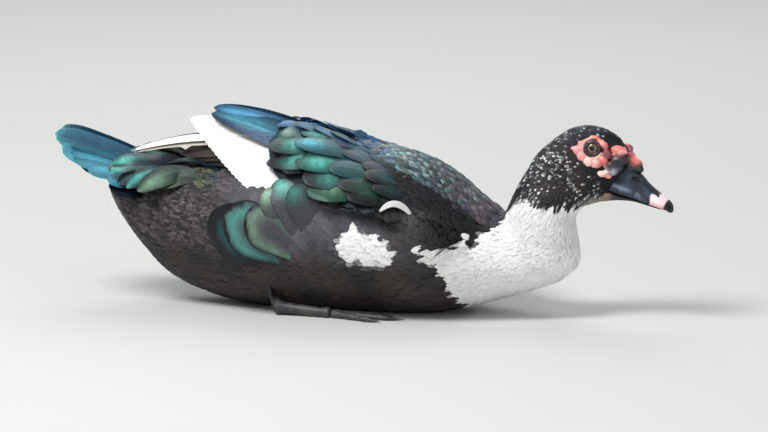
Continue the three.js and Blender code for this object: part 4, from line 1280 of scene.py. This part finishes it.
def upperBillTint(p):
    # blue-black horn, with painted highlights as paler streaks toward its edge and a pale streak near its
    # base, a black band high on its base that is partly painted shadow under the face's lumps, a pink band
    # and a black nail
    x, _, z = p.T
    rows = np.array(bill["upper"])
    edge = z - np.interp(x, [254, 290, 320], [137, 124.5, 115.6])
    top = z - np.interp(x, rows[3:-1, 0], rows[3:-1, 1])
    cloud = soft(ripple(p, 26, 81) + 0.3 * ripple(p, 8, 82), -0.9, 1.1)
    tint = blend(billColours["dark"], billColours["blue"], cloud)
    # painted highlight: paler streaks toward the edge
    pale = soft(ripple(p, 11, 83), 0.0, 0.9) * soft(edge, 0.5, 3) * soft(edge, 11, 6)
    tint = blend(tint, billColours["edge"], 0.5 * pale)
    # black band high on the base, partly painted shadow under the face's lumps
    tint = blend(tint, billColours["gapeAndShadow"], hump(z, 142.6, 3.6) * soft(x, 284, 272))
    # painted highlight: a pale streak near the base
    streak = hump(z - 138 + 0.3 * (x - 265.5), 0, 1.8) * soft(x, 261, 266) * soft(x, 290, 278)
    tint = blend(tint, billColours["streak"], 0.7 * streak)
    start = 305.5 + 1.6 * ripple(p, 6, 84) + 8 * soft(top, -4.5, -1)
    band = blend(billColours["pink"], billColours["rose"], soft(edge, 5, 0))
    tint = blend(tint, band, soft(x - start, -0.8, 0.8))
    return blend(tint, billColours["nail"], soft(x - (z - 115) * 0.3, 318, 319.5))


# the upper bill's nostril is pressed in along the normals, with a raised rim
points, faces = outwards(*uprightForm(bill["upper"], 150, around=120, square=2.3))
reach, depth = fromOval(points, *bill["nostril"][:5]), bill["nostril"][5]
pressed = -depth * soft(reach, 1.0, 0.55) + 0.5 * hump(reach, 1.35, 0.3)
points = points + normalsOf(meshFrom("billForm", points, faces)) * pressed[:, None]
nail = outwards(*bulb(*bill["nail"], around=32, along=20))
tint = np.vstack([blend(upperBillTint(points), billColours["hole"], soft(reach, 0.95, 0.7)),
                  np.tile(billColours["nail"], (len(nail[0]), 1))])
mesh = meshFrom("billUpper", *stack([(points, faces), nail]), tint=tint)
makePiece("billUpper", mesh, "bill", ("bill_upper",))
points, faces = outwards(*uprightForm(bill["lower"], 60, around=56, square=2.4))
forward = soft(points[:, 0] + 3 * ripple(points, 12, 87), 258, 272)
mesh = meshFrom("billLower", points, faces, tint=blend(billColours["skin"], billColours["lower"], forward))
makePiece("billLower", mesh, "bill", ("bill_lower",))
print("bill and eyes made")

# feet: legs, toes with joints and claws, and the web between the toes

feet = {
    "heel": (-66, 70, 14), "base": (-8, 73, 4.4), "lowest": 0.05,
    # tips of the inner, middle and outer toe
    "toes": [(48, 57, 1.8), (64, 74, 1.8), (46, 92, 1.8)],
    # from the heel: x, y, z, radius; from the base: x, y, z, radius; along a toe: share, radius
    "leg": [(-14, -14, 28, 0), (-12, -12, 24, 9), (-6, -4, 8, 8.5), (0, 0, -5, 8), (16, 1, -7, 5.6)],
    "foot": [(-12, 0, 0.5, 5.2), (-2, 0, 0, 6), (0, 0, 0, 0)],
    "toe": [(0, 0), (0.03, 5), (0.3, 4), (0.42, 4.5), (0.6, 3.6), (0.7, 4.1), (0.84, 3.2), (0.9, 2),
            (1.1, 0)],
    "webReach": 0.88, "webBay": 0.2, "webLow": 0.3,
    # where a claw begins, seen from the base, and the scutes across the toes in radians per mm
    "claw": (56, 60), "scutes": 2.4,
}
footColours = palette({"dark": "2c2d31", "scute": "4b4944", "claw": "0e0e10"})


def limb(rows, count, side, high=1.0):
    # a tube through rows of x, y, z and radius, as high as high times its width
    at, r = np.split(smoothRows(rows, count), [3], 1)
    return roundForm(at * (1, side, 1), r * (0, 1, 0), r * (0, 0, high), r * (0, 0, -high), 24)


def webForm(side):
    # straight to each toe, its edge drawn in between them by a sine, 1.2 thick there and thicker at the base
    base, tips = np.array(feet["base"][:2]), np.array(feet["toes"], float)[:, :2]
    t = np.linspace(0, 2, 41)
    edge = columns(*(np.interp(t, [0, 1, 2], tips[:, k]) for k in (0, 1)))
    reach = feet["webReach"] - feet["webBay"] * np.sin(np.pi * (t % 1))
    f = np.linspace(0, 1, 22)[1:, None]
    flat = base + (f * reach)[..., None] * (edge - base)
    lift = 1.5 + 0.9 * (1 - f) + 0.25 * np.sin(t * 18) * f
    top = columns(flat[..., 0], side * flat[..., 1], lift).reshape(-1, 3)
    grid = np.arange(len(top)).reshape(lift.shape)
    rim = np.concatenate([grid[0], grid[1:, -1], grid[-1, -2::-1], grid[-2:0:-1, 0]])
    wall = columns(rim, rim + len(top), np.roll(rim, -1) + len(top), np.roll(rim, -1))
    faces = np.vstack([gridFaces(grid), gridFaces(grid)[:, ::-1] + len(top), wall])
    return np.vstack([top, top * (1, 1, 0) + (0, 0, feet["webLow"])]), [faces]


def footPiece(label, side):
    heel, base = np.array(feet["heel"] + (0,)), np.array(feet["base"] + (0,))
    parts = [limb(np.vstack([heel + feet["leg"], base + feet["foot"]]), 48, side)]
    for tip in feet["toes"]:
        share, r = np.array(feet["toe"]).T[..., None]
        parts.append(limb(np.hstack([base[:3] + share * (tip - base[:3]), r]), 48, side, 0.8))
    points, faces = stack([outwards(*part) for part in parts + [webForm(side)]])
    points[:, 2] = np.maximum(points[:, 2], feet["lowest"])
    claw = soft(np.linalg.norm(points[:, :2] - base[:2] * (1, side), axis=-1), *feet["claw"])
    scute = 0.5 + 0.5 * np.sin(points[:, 0] * feet["scutes"])
    tint = blend(footColours["dark"], footColours["scute"], soft(scute, 0.2, 0.9) * 0.6)
    mesh = meshFrom("foot" + label, points, faces, tint=blend(tint, footColours["claw"], claw))
    nodes = ("leg_" + label.lower(), "foot_" + label.lower())
    makePiece("foot" + label, mesh, "foot", nodes)


for label, side in sides.items():
    footPiece(label, side)

# floor

corners = np.array([(-1, -1, 0), (1, -1, 0), (1, 1, 0), (-1, 1, 0)], float) * studio["floorHalf"]
floorMesh = meshFrom("floor", corners, [np.array([[0, 1, 2, 3]])])
floor = addObject("floor", floorMesh)
floorFinish, _, floorShader = nodesOf("floorFinish")
floorShader.inputs["Base Color"].default_value = studio["floor"]
floorShader.inputs["Roughness"].default_value = studio["floorRoughness"]
floorMesh.materials.append(floorFinish)
print("feet and floor made")
